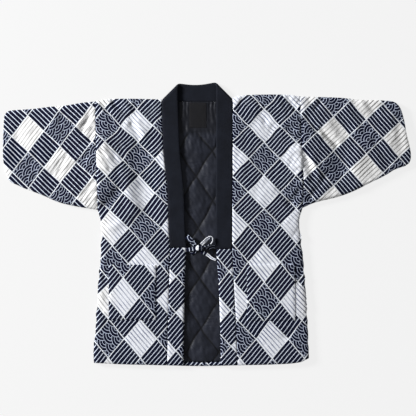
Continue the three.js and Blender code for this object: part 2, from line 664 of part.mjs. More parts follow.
// Strip of the ties along its route
function stripGeometry(strip) {
  const curve = new THREE.CatmullRomCurve3(strip.route.map((p) => new THREE.Vector3(p.x, p.y, p.z)));
  const columns = [
    { part: -1, share: 0.4 }, { part: -0.8, share: 1 }, { part: 0, share: 1 }, { part: 0.8, share: 1 },
    { part: 1, share: 0.4 },
  ];
  const up = new THREE.Vector3(0, 0, 1);
  let side = null;
  const frames = even(strip.steps).map((t) => {
    const center = curve.getPoint(t);
    const forward = curve.getTangent(t);
    const level = new THREE.Vector3().crossVectors(forward, up);
    if (level.length() > 0.3) {
      level.normalize();
      if (side && level.dot(side) < 0) level.negate();
      side = level;
    }
    const routePlace = t * (strip.route.length - 1);
    const k = Math.min(strip.route.length - 2, Math.floor(routePlace));
    const turn = mix(strip.route[k].turn, strip.route[k + 1].turn, routePlace - k);
    const width = side.clone().applyAxisAngle(forward, THREE.MathUtils.degToRad(turn));
    const normal = new THREE.Vector3().crossVectors(width, forward).normalize();
    return { center, width, normal };
  });
  const skin = (sign) => frames.map(({ center, width, normal }) => columns.map(
    ({ part, share }) => center.clone()
      .addScaledVector(width, (part * strip.width) / 2)
      .addScaledVector(normal, (sign * share * tieThickness) / 2),
  ));
  return wall(skin(1), skin(-1));
}

// Knot: rounded lump of wrapped strip
function knotGeometry() {
  const sphere = new THREE.SphereGeometry(1, 14, 10);
  sphere.deleteAttribute('normal');
  sphere.deleteAttribute('uv');
  const geometry = mergeVertices(sphere, 1e-4);
  const position = geometry.getAttribute('position');
  const soften = (value) => Math.sign(value) * Math.abs(value) ** 0.8;
  for (let k = 0; k < position.count; k += 1) {
    position.setXYZ(
      k,
      knot.x + (soften(position.getX(k)) * knot.length) / 2,
      knot.y + (soften(position.getY(k)) * knot.width) / 2,
      knot.z + (soften(position.getZ(k)) * knot.height) / 2,
    );
  }
  return geometry;
}

const garment = new THREE.Group();
garment.name = 'hanten_jacket';

function add(name, geometry, cloth) {
  const material = new THREE.MeshStandardMaterial({ ...cloth, metalness: 0 });
  const mesh = new THREE.Mesh(geometry, material);
  mesh.name = name;
  garment.add(mesh);
}

add('back', backGeometry(), printCloth);
add('lining_back', liningGeometry(), liningCloth);

const leftFront = {
  left: leftEdge,
  right: shifted([leftBandSeam, leftCollarSeam.with(-1, { x: -136, y: 374 })], -seamGap),
  low: [[...hem.filter((row) => row.x < -141), { x: -119.3, y: -422.5 }]],
  high: [leftShoulder],
};
const rightFront = {
  left: shifted([rightBandSeam, rightCollarSeam.with(-1, { x: 77, y: 379 })], seamGap),
  right: rightEdge,
  low: [[{ x: 91.3, y: -422.5 }, ...hem.filter((row) => row.x > 99)]],
  high: [rightShoulder],
};
add('front_left', frontGeometry(leftFront, 'left', pockets[0]), printCloth);
add('front_right', frontGeometry(rightFront, 'right', pockets[1]), printCloth);

const leftSleeve = {
  left: [leftCuff],
  right: shifted([leftArmhole], -seamGap),
  low: [leftSleeveUnder.with(-1, { x: -327.3, y: 43 })],
  high: [leftSleeveTop.with(-1, { x: -335.3, y: 368 })],
};
const rightSleeve = {
  left: shifted([rightArmhole], seamGap),
  right: [rightCuff],
  low: [rightSleeveUnder.with(0, { x: 286.3, y: 49 })],
  high: [rightSleeveTop.with(0, { x: 278.3, y: 383 })],
};
add('sleeve_left', sleeveGeometry(leftSleeve, leftSleeveFolds, 'right'), printCloth);
add('sleeve_right', sleeveGeometry(rightSleeve, rightSleeveFolds, 'left'), printCloth);

add('collar', collarGeometry(), plainNavy);
add('band_left', bandGeometry(leftBandSeam, leftBandEdge, 'left'), printCloth);
add('band_right', bandGeometry(rightBandSeam, rightBandEdge, 'right'), printCloth);

const frontTop = frontBase + frontThickness;
for (const pocket of pockets) {
  const geometry = patchGeometry(pocket, frontTop + seamGap, pocketThickness, pocketGrid);
  add(pocket.name, geometry, printCloth);
}
const labelBase = liningHeight(label.left, label.top) + seamGap;
add('neck_label', patchGeometry(label, labelBase, labelThickness, { rows: 1, columns: 1 }), labelCloth);

add('bow_knot', knotGeometry(), printCloth);
for (const strip of strips) add(strip.name, stripGeometry(strip), printCloth);

export default garment;
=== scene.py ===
"""Padded hanten jacket with a traditional print, laid flat with its front up.

Lengths are in millimetres until a mesh is made. +Y runs from the hem to the collar.
"""
from math import cos, dist, pi, radians, sin, sqrt

import bpy
import numpy as np
from mathutils import Matrix, Vector, noise


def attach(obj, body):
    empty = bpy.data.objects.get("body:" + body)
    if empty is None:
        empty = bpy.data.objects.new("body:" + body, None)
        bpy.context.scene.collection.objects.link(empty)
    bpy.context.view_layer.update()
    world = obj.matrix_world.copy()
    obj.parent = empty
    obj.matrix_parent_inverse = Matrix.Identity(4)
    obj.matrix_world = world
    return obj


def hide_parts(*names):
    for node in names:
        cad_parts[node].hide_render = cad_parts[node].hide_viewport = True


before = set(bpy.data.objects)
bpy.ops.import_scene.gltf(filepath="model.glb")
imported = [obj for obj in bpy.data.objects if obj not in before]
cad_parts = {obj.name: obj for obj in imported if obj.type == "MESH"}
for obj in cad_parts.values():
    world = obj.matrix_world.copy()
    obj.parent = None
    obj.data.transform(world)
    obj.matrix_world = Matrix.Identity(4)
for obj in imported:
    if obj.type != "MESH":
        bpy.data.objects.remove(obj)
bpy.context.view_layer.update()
MM = 0.001

# Camera: straight above the garment, with the photo's framing
VIEW_WIDTH = 1248
VIEW_CENTER = (3, 48.75)
CAMERA_HEIGHT = 5000
SENSOR = 36

# Layers, from the surface up
SEAM_GAP = 0.3
BACK_CLOTH = 2
LINING_BASE = BACK_CLOTH + SEAM_GAP
LINING_GROOVE = 3.2
LINING_PUFF = 2.8
LINING_TOP = LINING_BASE + LINING_GROOVE + LINING_PUFF
YOKE_TOP = LINING_BASE + LINING_GROOVE + 0.55 * LINING_PUFF
LABEL_BASE = YOKE_TOP + SEAM_GAP
LABEL_THICKNESS = 0.8
FRONT_BASE = LINING_TOP + SEAM_GAP
FRONT_THICKNESS = 6
BAND_THICKNESS = 6.4
POCKET_BASE = FRONT_BASE + FRONT_THICKNESS + SEAM_GAP
POCKET_THICKNESS = 2.4
SLEEVE_THICKNESS = 6.6
SLEEVE_HOLLOW = 0.6

# Collar strip
COLLAR_WIDTH = 49
COLLAR_THICKNESS = 6
COLLAR_ROLL = FRONT_BASE / 2
COLLAR_DIP = 5
CORNER_EASE = 0.8
NECKLINE = 368

# Quilting of the lining
QUILT_HALF_WIDTH = 50
QUILT_HALF_HEIGHT = 75.5
GROOVE_DEPTH = 2.9
QUILT_X = -33
QUILT_Y = 143
QUILT_LEAN = 0.037
YOKE = 272
# From x to x: where the lining's points are close, and where the lining shows
LINING_FINE = (-148, 96)
LINING_SHOWS = (-128, 84)
HEM_ROLL = 12
HEM_LOW = 4
RIM = 3

# Outlines, each a smooth curve through its points (x, y)
HEM = [
    (-337.5, -415), (-261, -419), (-141, -422.5), (-21, -425), (99, -422.5), (219, -419), (279, -413),
    (306, -401),
]
LEFT_SIDE = [
    (-337.5, -415), (-339, -377), (-333, -305), (-327, -197), (-319, -107), (-317, 0), (-327, 43),
]
LEFT_ARMHOLE = [(-327, 43), (-335, 368)]
RIGHT_SIDE = [(306, -401), (303, -347), (297, -227), (289, -120), (280, -40), (276, 10), (286, 49)]
RIGHT_ARMHOLE = [(286, 49), (289, 127), (285, 215), (281, 310), (278, 383)]
LEFT_SHOULDER = [(-335, 368), (-300, 374), (-240, 376), (-136.3, 374)]
RIGHT_SHOULDER = [(77.3, 379), (99, 385), (150, 388), (234, 388), (278, 383)]
LEFT_COLLAR_SEAM = [(-110, -70), (-114, -20), (-118, 100), (-130, 223), (-136, 373)]
RIGHT_COLLAR_SEAM = [(75, -74), (76, 120), (77, 376)]
LEFT_BAND_SEAM = [(-119, -422.5), (-116, -287), (-111, -113), (-110, -70)]
RIGHT_BAND_SEAM = [(91, -422.5), (86, -287), (80, -182), (75, -74)]
LEFT_BAND_EDGE = [(-70, -422.5), (-69, -317), (-66, -167), (-62, -70)]
RIGHT_BAND_EDGE = [(41, -422.5), (40, -317), (35, -182), (28, -74)]
LEFT_SLEEVE_TOP = [
    (-607, 325), (-600, 336), (-585, 341), (-519, 346), (-471, 352), (-423, 356), (-375, 364), (-335, 368),
]
LEFT_SLEEVE_UNDER = [
    (-595, 135), (-585, 125), (-567, 117), (-543, 106), (-495, 88), (-447, 67), (-399, 55), (-327, 43),
]
LEFT_CUFF = [(-595, 135), (-601, 152), (-607, 175), (-610.5, 205), (-610, 265), (-607, 325)]
RIGHT_SLEEVE_TOP = [(278, 383), (309, 382), (399, 379), (459, 373), (543, 370), (564, 365), (574, 356)]
RIGHT_SLEEVE_UNDER = [
    (286, 49), (321, 64), (393, 82), (441, 100), (489, 124), (537, 148), (561, 163), (595, 175),
]
RIGHT_CUFF = [
    (595, 175), (606, 185), (610.5, 205), (606, 235), (597, 271), (591, 307), (582, 340), (574, 356),
]

# Pieces that lie on the panels: left, bottom, right, top
POCKET_LEFT = (-294, -286, -153, -121)
POCKET_RIGHT = (120, -289, 264, -119)
LABEL = (-54, 289, -2, 364)

# Rounding of padded edges: how far in it reaches, and the share of the thickness left at the edge
ROUND_OPEN = (16, 0.3)
ROUND_ARMHOLE = (9, 0.6)
ROUND_FRONT_SEAM = (8, 0.65)
ROUND_BAND_SEAM = (8, 0.7)
ROUND_BAND_EDGE = (8, 0.4)
ROUND_BAND_TOP = (4, 0.7)
ROUND_COLLAR = (5, 0.4)
ROUND_HEM = (10, 0.45)
ROUND_SLEEVE_END = (9, 0.84)
ROUND_SLEEVE_FOLD = (11, 0)
ROUND_SLEEVE_HOLLOW = (14, 0)
ROUND_PATCH = (11, 0.2)

# Gathers along a seam: their height, their pitch, and how far from the seam they reach
ARMHOLE_GATHERS = (0.9, 27, 26)
SHOULDER_GATHERS = (0.5, 23, 22)
NECK_GATHERS = (0.8, 12.5, 70)
SLEEVE_GATHERS = (0.9, 26, 45)
FRONT_SEAM_PULL = (0.35, 17, 9)
COLLAR_RIPPLES = (0.35, 19, 8)
BAND_RIPPLES = (0.3, 21, 9)

# Narrow creases by an armhole, by its side: how far they reach, and their turn in degrees
FRONT_CRINKLES = {"left": (100, 40), "right": (55, -40)}
SLEEVE_CRINKLES = {"right": (110, -35), "left": (60, 40)}
CRINKLE_HEIGHT = 2.3
PUCKER_HEIGHT = 2.4
# Place of a sleeve's armhole, by the side of the sleeve that it is on
ARMHOLE_X = {"right": -327, "left": 284}

# Height under which deep folds ease out, so that no wall gets too thin. The sleeves' is a share.
FRONT_EASE = 2.4
LINING_EASE = 0.8
SLEEVE_EASE = 0.4

# How far the side edges and the print waver
SIDE_WAVER = 4
PRINT_WAVER = 4
SLEEVE_WAVER = 1.5

# Spacing of the meshes' points across and along, and the sizes that it is worked out for
FRONT_SPACING = (2.7, 3)
FRONT_WIDTH = 200
SLEEVE_SPACING = 2.8
SLEEVE_UNDER_SPACING = 8
SLEEVE_SPAN = (275, 260)
SLEEVE_FOLD_STEPS = (0, 0.3, 0.9, 1.8, 3, 4.6, 6.6, 9)
BAND_SPACING = (3, 3.6)
PATCH_SPACING = 2.2
PATCH_EDGE_STEPS = (0, 0.5, 1.2, 2, 3, 4.2)

# Folds and creases: from x1, y1 to x2, y2, with their width and height, troughs below zero
BODY_FOLDS = [
    (-322, 285, -310, 60, 48, 9.5), (-206, 262, -168, -10, 33, -5.6), (296, 330, 288, 70, 55, 5),
    (-248, 168, -218, 20, 24, 5.6), (-338, -232, -306, -262, 5, -3), (-340, -262, -304, -296, 5, 2.6),
    (-341, -300, -304, -326, 5, -3), (-334, -196, -304, -226, 5, 2.4), (-323, 232, -286, 158, 6, -2),
    (-304, 244, -256, 172, 5, -1.8), (-312, 238, -270, 162, 5, 1.2), (-290, 246, -246, 184, 5, -1.4),
    (-296, 200, -262, 150, 5, -1.2), (-238, 122, -200, 74, 5, -1.5), (-220, 132, -180, 84, 5, 1.2),
    (-250, 100, -216, 58, 5, -1.3), (-231, 307, -198, 253, 8, -4.4), (-214, 316, -180, 258, 9, 2.6),
    (-291, 375, -216, 313, 9, -3.4), (-258, 378, -225, 330, 9, 2.8), (-318, 40, -250, 120, 12, -3.4),
    (-305, -20, -215, 30, 14, 2.6), (-325, 92, -276, 40, 8, -3), (-200, 170, -150, 118, 10, -2.2),
    (-260, 60, -190, -8, 12, -2), (150, 345, 180, 300, 9, -3.2), (120, 380, 165, 330, 10, 2.8),
    (250, 140, 284, 96, 8, -1.8), (276, 40, 205, 115, 12, -3.4), (265, -25, 180, 20, 14, 2.6),
    (238, 384, 282, 318, 8, -3.6), (196, 386, 236, 334, 9, 2.4), (282, 108, 238, 48, 8, -3),
    (-327, -110, -296, -186, 8, -3), (-300, -96, -322, -176, 7, 2.2), (288, -112, 268, -190, 8, -2.6),
    (-288, 378, -262, 342, 6, -3), (-322, 364, -288, 330, 7, -3.2), (106, 384, 92, 330, 7, -2.6),
    (286, 250, 240, 296, 8, -2.8), (130, 205, 176, 150, 10, -2.2), (170, 70, 236, 4, 12, -2),
    (-262, -60, -212, -112, 10, -1.8), (-318, -300, -240, -352, 12, -2), (110, -60, 160, -108, 10, -1.8),
    (292, -300, 214, -350, 12, -2),
]
LEFT_SLEEVE_FOLDS = [
    (-348, 326, -378, 272, 6, -3), (-337, 290, -356, 244, 6, -2.6), (-362, 336, -396, 272, 7, 1.8),
    (-418, 214, -452, 142, 5, -2.6), (-404, 204, -436, 130, 6, 1.8), (-434, 198, -470, 142, 5, -2.2),
    (-330, 285, -322, 60, 40, 4), (-450, 226, -480, 176, 5, -1.6), (-410, 178, -428, 148, 4, -1.6),
    (-344, 126, -364, 92, 5, -1.8), (-362, 104, -378, 78, 4, -1.4), (-340, 92, -356, 66, 4, 1.2),
    (-438, 345, -478, 262, 14, 2.2), (-560, 300, -582, 195, 13, -2), (-330, 222, -392, 180, 9, -3),
    (-500, 120, -540, 190, 12, -1.8),
]
RIGHT_SLEEVE_FOLDS = [
    (288, 226, 326, 112, 12, -6), (298, 62, 372, 165, 9, -3.6), (334, 290, 396, 230, 8, -7),
    (352, 312, 410, 246, 12, 2.4), (292, 330, 336, 270, 9, -3.4), (412, 362, 462, 262, 14, 2.6),
    (492, 256, 552, 174, 13, -3), (470, 270, 524, 196, 10, 2.4), (540, 340, 566, 250, 12, 2.2),
    (430, 372, 520, 330, 14, -2.4), (296, 378, 330, 342, 8, -3), (400, 200, 452, 128, 11, -2.6),
    (452, 384, 486, 338, 12, 3), (312, 340, 306, 70, 55, 5), (406, 330, 400, 120, 28, -3.4),
    (452, 240, 444, 96, 30, 3.2), (534, 330, 524, 165, 36, 3), (352, 384, 322, 338, 8, -3),
    (306, 206, 342, 138, 6, 2.6), (560, 300, 590, 214, 12, -1.2), (470, 372, 520, 316, 9, -2.4),
]

# Print: a lattice of diamonds, half a tile being one step. Rows give a height on the cloth, the
# steps down from the first plain tile, and where the column of that tile crosses.
TILE_HALF_WIDTH = 48
PRINT_MAP = "print_place"
LEFT_PRINT = [
    (295, 0, -210), (196, 2, -204), (94, 4, -204), (-11, 6, -186), (-118, 8, -188), (-227, 10, -198),
    (-342, 12, -199),
]
RIGHT_PRINT = [
    (295, 0, 171), (196, 2, 171), (96, 4, 171), (-2, 6, 171), (-113, 8, 172), (-230, 10, 180),
    (-344, 12, 195),
]
LEFT_POCKET_PRINT = [(-101, 8, -154.5), (-218, 10, -154.5), (-335, 12, -154.5)]
RIGHT_POCKET_PRINT = [(-114, 8, 171), (-232, 10, 171), (-350, 12, 171)]
LEFT_BAND_PRINT = [(-156, -2, -45), (-264, 0, -45), (-378, 2, -45)]
RIGHT_BAND_PRINT = [(-141, -2, 18), (-257, 0, 22), (-365, 2, 24)]
BACK_PRINT = [(-7, 5, -9), (-407, 13, -9)]
# Sleeves: a plain tile's center, and the steps of its lattice across and down
LEFT_SLEEVE_PRINT = ((-439.5, 178.7), (47.7, 7.8), (0.6, -54))
RIGHT_SLEEVE_PRINT = ((378.3, 270.8), (49.2, -4.5), (0, -51.6))


def mix(a, b, t):
    return a + (b - a) * t


def ramp(value, start, end, low=0):
    """Even rise from 0 at the start to 1 at the end, and nowhere under low."""
    return np.clip((value - start) / (end - start), low, 1)


def points_of(*parts):
    return np.stack(np.broadcast_arrays(*parts), axis=-1)


def smooth(rows, axis, values):
    """Other coordinate of the smooth curve through rows, at values along axis (0 for x, 1 for y)."""
    points = np.array(rows, dtype=float)
    place, other = points[:, axis], points[:, 1 - axis]
    after = np.minimum(np.arange(len(rows)) + 1, len(rows) - 1)
    before = np.maximum(np.arange(len(rows)) - 1, 0)
    slope = (other[after] - other[before]) / (place[after] - place[before])
    k = np.clip(np.searchsorted(place, values, side="right") - 1, 0, len(rows) - 2)
    span = place[k + 1] - place[k]
    t = np.clip((values - place[k]) / span, 0, 1)
    ease = t * t * (3 - 2 * t)
    bend = slope[k] * (1 - t) - slope[k + 1] * t
    return mix(other[k], other[k + 1], ease) + span * t * (1 - t) * bend


def edge_at(curves, axis, values):
    """The same along an edge made of one or more curves."""
    values = np.asarray(values, dtype=float)
    result = smooth(curves[-1], axis, values)
    for rows in reversed(curves[:-1]):
        result = np.where(values <= rows[-1][axis], smooth(rows, axis, values), result)
    return result


def along(curves, axis, t):
    """Points of an edge at t, from 0 at its start to 1 at its end."""
    values = mix(curves[0][0][axis], curves[-1][-1][axis], np.asarray(t, dtype=float))
    other = edge_at(curves, axis, values)
    return points_of(values, other) if axis == 0 else points_of(other, values)


def shifted(curves, dx):
    return [[(x + dx, y) for x, y in rows] for rows in curves]


def patch(edges, across, up):
    """Grid of points of the cloth between four edges (left, right, low, high)."""
    left, right, low, high = edges
    v = np.asarray(up)[:, None, None]
    u = np.asarray(across)[None, :, None]
    sides = mix(along(left, 1, up)[:, None, :], along(right, 1, up)[:, None, :], u)
    ends = mix(along(low, 0, across)[None, :, :], along(high, 0, across)[None, :, :], v)
    corner = [along(edge, 1, end) for end in (0, 1) for edge in (left, right)]
    flat = mix(mix(corner[0], corner[1], u), mix(corner[2], corner[3], u), v)
    return sides + ends - flat


def steps(span, pitch, near=(0, 0.6, 1.6, 3, 5, 7.5)):
    """Places from 0 to 1: close ones at both rounded ends of a span, and even ones between."""
    close = np.array(near) / span
    count = max(2, round((span - 2 * near[-1]) / pitch))
    middle = np.linspace(close[-1], 1 - close[-1], count + 1)[1:-1]
    return np.concatenate([close, middle, 1 - close[::-1]])


def rise(distance, rounding):
    """Rounded rise of a padded edge, from its low share at the edge to 1 at the radius."""
    radius, low = rounding
    t = 1 - np.clip(np.asarray(distance) / radius, 0, 1)
    return low + (1 - low) * np.sqrt(1 - t * t)


def fold_height(folds, x, y):
    """Height that a list of folds adds."""
    total = np.zeros_like(x)
    for x1, y1, x2, y2, width, height in folds:
        dx, dy = x2 - x1, y2 - y1
        length = sqrt(dx * dx + dy * dy)
        place = ((x - x1) * dx + (y - y1) * dy) / length**2
        across = ((x - x1) * dy - (y - y1) * dx) / length
        taper = np.maximum(0, 1 - (2 * place - 1) ** 4)
        total += height * taper * np.exp(-((across / width) ** 2))
    return total


def eased(height, limit):
    """The same height above the limit. Below it, one that never falls to zero."""
    return np.where(height > limit, height, limit * np.exp(np.minimum(height / limit - 1, 0)))


def noise_field(x, y, scale, seed, stretch=(1, 1), turn=0):
    """Smooth uneven field between about -1 and 1."""
    c, s = cos(radians(turn)), sin(radians(turn))
    u = (x * c + y * s) / (scale * stretch[0])
    v = (y * c - x * s) / (scale * stretch[1])
    flat = [noise.noise(Vector((a, b, seed * 7.3))) for a, b in zip(u.ravel(), v.ravel())]
    return np.array(flat).reshape(x.shape)


def from_box(box, x, y):
    """Distance from a box, 0 inside it."""
    left, bottom, right, top = box
    out_x = np.maximum(np.maximum(left - x, x - right), 0)
    out_y = np.maximum(np.maximum(bottom - y, y - top), 0)
    return np.hypot(out_x, out_y)


def creases(x, y, seed, strength):
    """Small uneven puckers of cloth over wadding."""
    broad = noise_field(x, y, 34, seed, (1, 1.6), 20)
    fine = noise_field(x, y, 13, seed + 1, (1, 2.2), -25)
    return strength * (0.7 * broad + 0.35 * fine)


def crinkles(x, y, from_seam, kind, seed):
    """Narrow creases that die out away from a seam."""
    reach, turn = kind
    narrow = noise_field(x, y, 8, seed + 6, (1, 4.5), turn)
    return CRINKLE_HEIGHT * narrow * np.exp(-from_seam / reach)


def gathers(kind, along, from_seam, shift=0):
    """Waves along a seam that die out away from it, with their places shifted by parts of a pitch."""
    height, pitch, reach = kind
    return height * np.sin(2 * pi * (along / pitch + shift)) * np.exp(-from_seam / reach)


# Print places

def tile_place(rows, x, y):
    """Print coordinates on a body panel: one unit is a tile's side."""
    height, step, column = np.array(sorted(rows), dtype=float).T
    pace = np.diff(step) / np.diff(height)
    below, above = np.minimum(y - height[0], 0), np.maximum(y - height[-1], 0)
    down = np.interp(y, height, step) + pace[0] * below + pace[-1] * above
    across = (x - np.interp(y, height, column)) / TILE_HALF_WIDTH
    return points_of((across + down) / 2, (across - down) / 2)


def sleeve_place(lattice, x, y):
    """Print coordinates on a sleeve, where the print is turned by a quarter."""
    (x0, y0), (px, py), (qx, qy) = lattice
    area = px * qy - py * qx
    across = ((x - x0) * qy - (y - y0) * qx) / area
    down = ((y - y0) * px - (x - x0) * py) / area
    return points_of((across - down) / 2, -(across + down) / 2)


def wavering(x, y, amount, scale, seed):
    """Places moved unevenly, so that the print wavers with the cloth."""
    return [place + amount * noise_field(x, y, scale, seed + k) for place, k in ((x, 12), (y, 13))]


# Meshes

def add_object(name, data):
    obj = bpy.data.objects.new(name, data)
    bpy.context.scene.collection.objects.link(obj)
    return obj


def make_object(name, points, faces, material, place=None):
    mesh = bpy.data.meshes.new(name)
    mesh.from_pydata((np.asarray(points, dtype=float) * MM).tolist(), [], faces)
    mesh.validate()
    mesh.polygons.foreach_set("use_smooth", [True] * len(mesh.polygons))
    if place is not None:
        corners = np.zeros(len(mesh.loops), dtype=np.int32)
        mesh.loops.foreach_get("vertex_index", corners)
        layer = mesh.uv_layers.new(name=PRINT_MAP)
        layer.data.foreach_set("uv", np.asarray(place, dtype=np.float32)[corners].ravel())
    mesh.update()
    mesh.materials.append(material)
    return add_object(name, mesh)


def grid_faces(rows, cols, first=0, flipped=False, closed=False):
    """Faces between rows of points, each row open or closed into a ring."""
    row = first + np.arange(rows - 1)[:, None] * cols
    col = np.arange(cols if closed else cols - 1)
    a, b = (row + col).ravel(), (row + (col + 1) % cols).ravel()
    quads = np.stack([a, b, b + cols, a + cols], axis=1)
    return (quads[:, ::-1] if flipped else quads).tolist()


def wall(name, upper, lower, material, place=None):
    """Closed wall between an upper and a lower grid of points."""
    rows, cols = upper.shape[:2]
    count = rows * cols
    faces = grid_faces(rows, cols) + grid_faces(rows, cols, count, True)
    grid = np.arange(count).reshape(rows, cols)
    rim = np.concatenate([grid[0], grid[1:, -1], grid[-1, -2::-1], grid[-2:0:-1, 0]]).tolist()
    faces += [[a + count, b + count, b, a] for a, b in zip(rim, rim[1:] + rim[:1])]
    points = np.concatenate([upper.reshape(-1, 3), lower.reshape(-1, 3)])
    places = None if place is None else np.concatenate([place.reshape(-1, 2)] * 2)
    return make_object(name, points, faces, material, places)


def slab(name, x, y, z, base, material, place=None):
    """Closed wall from a flat base up to the heights z."""
    return wall(name, points_of(x, y, z), points_of(x, y, base), material, place)


# Materials

def set_values(node, values):
    """Set the node's named sockets."""
    for name, value in values.items():
        node.inputs[name].default_value = value


class Term:
    """A number in a node tree, with arithmetic on it."""

    def __init__(self, tree, socket):
        self.tree = tree
        self.socket = socket

    def join(self, operation, *others):
        node = self.tree.nodes.new("ShaderNodeMath")
        node.operation = operation
        for socket, value in zip(node.inputs, (self, *others)):
            if isinstance(value, Term):
                self.tree.links.new(value.socket, socket)
            else:
                socket.default_value = value
        return Term(self.tree, node.outputs[0])

    def __add__(self, other):
        return self.join("ADD", other)

    def __sub__(self, other):
        return self.join("SUBTRACT", other)

    def __mul__(self, other):
        return self.join("MULTIPLY", other)

    def inverse(self):
        """1 minus this."""
        return (self * -1) + 1

    def below(self, limit, soft=0.02):
        """1 below the limit and 0 above it, with a soft edge."""
        node = self.tree.nodes.new("ShaderNodeMapRange")
        node.interpolation_type = "SMOOTHSTEP"
        self.tree.links.new(self.socket, node.inputs["Value"])
        set_values(node, {"From Min": limit - soft, "From Max": limit + soft, "To Min": 1, "To Max": 0})
        return Term(self.tree, node.outputs[0])

    def choose(self, low, high):
        """low where this is 0, and high where it is 1."""
        return (high - low) * self + low


def new_material(name):
    material = bpy.data.materials.new(name)
    material.use_nodes = True
    tree = material.node_tree
    return material, tree, tree.nodes["Principled BSDF"]


def color_mix(factor, low, high):
    """Colour low where factor is 0 and high where it is 1. Each is a colour or a socket."""
    tree = factor.tree
    node = tree.nodes.new("ShaderNodeMix")
    node.data_type = "RGBA"
    tree.links.new(factor.socket, node.inputs["Factor"])
    for socket, value in ((node.inputs[6], low), (node.inputs[7], high)):
        if isinstance(value, tuple):
            socket.default_value = (*value, 1)
        else:
            tree.links.new(value, socket)
    return node.outputs[2]


def srgb(*channels):
    """Linear colour of an sRGB one in 0 to 255."""
    return tuple(((c / 255 + 0.055) / 1.055) ** 2.4 if c > 10 else c / 255 / 12.92 for c in channels)


def split(tree, vector):
    """The first two parts of a vector."""
    parts = tree.nodes.new("ShaderNodeSeparateXYZ")
    tree.links.new(vector, parts.inputs[0])
    return Term(tree, parts.outputs["X"]), Term(tree, parts.outputs["Y"])


def object_parts(tree):
    """Place across and along the object, in metres."""
    return split(tree, tree.nodes.new("ShaderNodeTexCoord").outputs["Object"])


def print_parts(tree):
    """The two print coordinates."""
    uv = tree.nodes.new("ShaderNodeUVMap")
    uv.uv_map = PRINT_MAP
    return split(tree, uv.outputs[0])


def object_noise(tree, scale, detail):
    """Noise over the object's own space."""
    place = tree.nodes.new("ShaderNodeTexCoord").outputs["Object"]
    texture = tree.nodes.new("ShaderNodeTexNoise")
    set_values(texture, {"Scale": scale, "Detail": detail})
    tree.links.new(place, texture.inputs["Vector"])
    return Term(tree, texture.outputs["Fac"])


def finish_cloth(tree, shader, color, finish, pitch, strength):
    """Colour, finish and plain weave: crossing threads, with uneven slubs, as bump."""
    tree.links.new(color, shader.inputs["Base Color"])
    set_values(shader, finish)
    warp, weft = ((place * (2 * pi / pitch)).join("SINE") for place in object_parts(tree))
    height = warp * 0.5 + weft * 0.5 + object_noise(tree, *SLUBS) * SLUB_SHARE
    bump = tree.nodes.new("ShaderNodeBump")
    set_values(bump, {"Strength": strength, "Distance": WEAVE_DEPTH})
    tree.links.new(height.socket, bump.inputs["Height"])
    tree.links.new(bump.outputs[0], shader.inputs["Normal"])


# Weave: its depth in metres, the noise of its slubs, and their share
WEAVE_DEPTH = 0.0004
SLUBS = (900, 2)
SLUB_SHARE = 0.35

# Colours of the print
NAVY = srgb(4, 8, 37)
LINE_WHITE = srgb(230, 240, 255)
EDGE_WHITE = srgb(244, 249, 255)
BODY_WHITE = srgb(245, 248, 255)
BODY_GREY = srgb(66, 79, 122)
SLEEVE_WHITE = srgb(252, 252, 252)
SLEEVE_GREY = srgb(84, 82, 79)
WAVE_NAVY = srgb(4, 8, 35)
WAVE_LIGHT = srgb(222, 233, 255)
WORN_GREY = srgb(70, 73, 86)
WEAR = 0.06

# Sizes in the print: a limit and its softness, in parts of a stripe, of a tile or of a wave ring
STRIPES = 7
STRIPE = (0.092, 0.03)
STRIPE_END = (0.465, 0.008)
SOFT_LINE = (0.15, 0.11)
WAVE_RADIUS = 0.355
WAVE_SHIFT = 0.085
WAVE_RINGS = 0.32
WAVE_LINE = (0.067, 0.03)
SEPARATOR = (0.483, 0.006)
# Half the width of the body in metres, where the plain tiles are a little bluer, and its softness
BODY_REACH = (0.29, 0.03)


def wave_lines(s, t):
    """Mask of the white lines in rows of overlapping round waves, with s and t in wave radii."""
    row = ((t - 1) * 2).join("CEIL")
    near = s.join("PINGPONG", 1.0)
    chosen = None
    for k in (2, 1, 0):
        index = row + k
        odd = index.join("FLOORED_MODULO", 2.0)
        beside = odd.choose(near.inverse(), near)
        above = t - index * 0.5
        distance = (beside * beside + above * above).join("SQRT")
        inside = distance.join("LESS_THAN", 1.0)
        chosen = distance if chosen is None else inside.choose(chosen, distance)
    ring = (chosen * (1 / WAVE_RINGS)).join("PINGPONG", 0.5)
    return ring.below(*WAVE_LINE) * chosen.join("GREATER_THAN", WAVE_RINGS / 2)


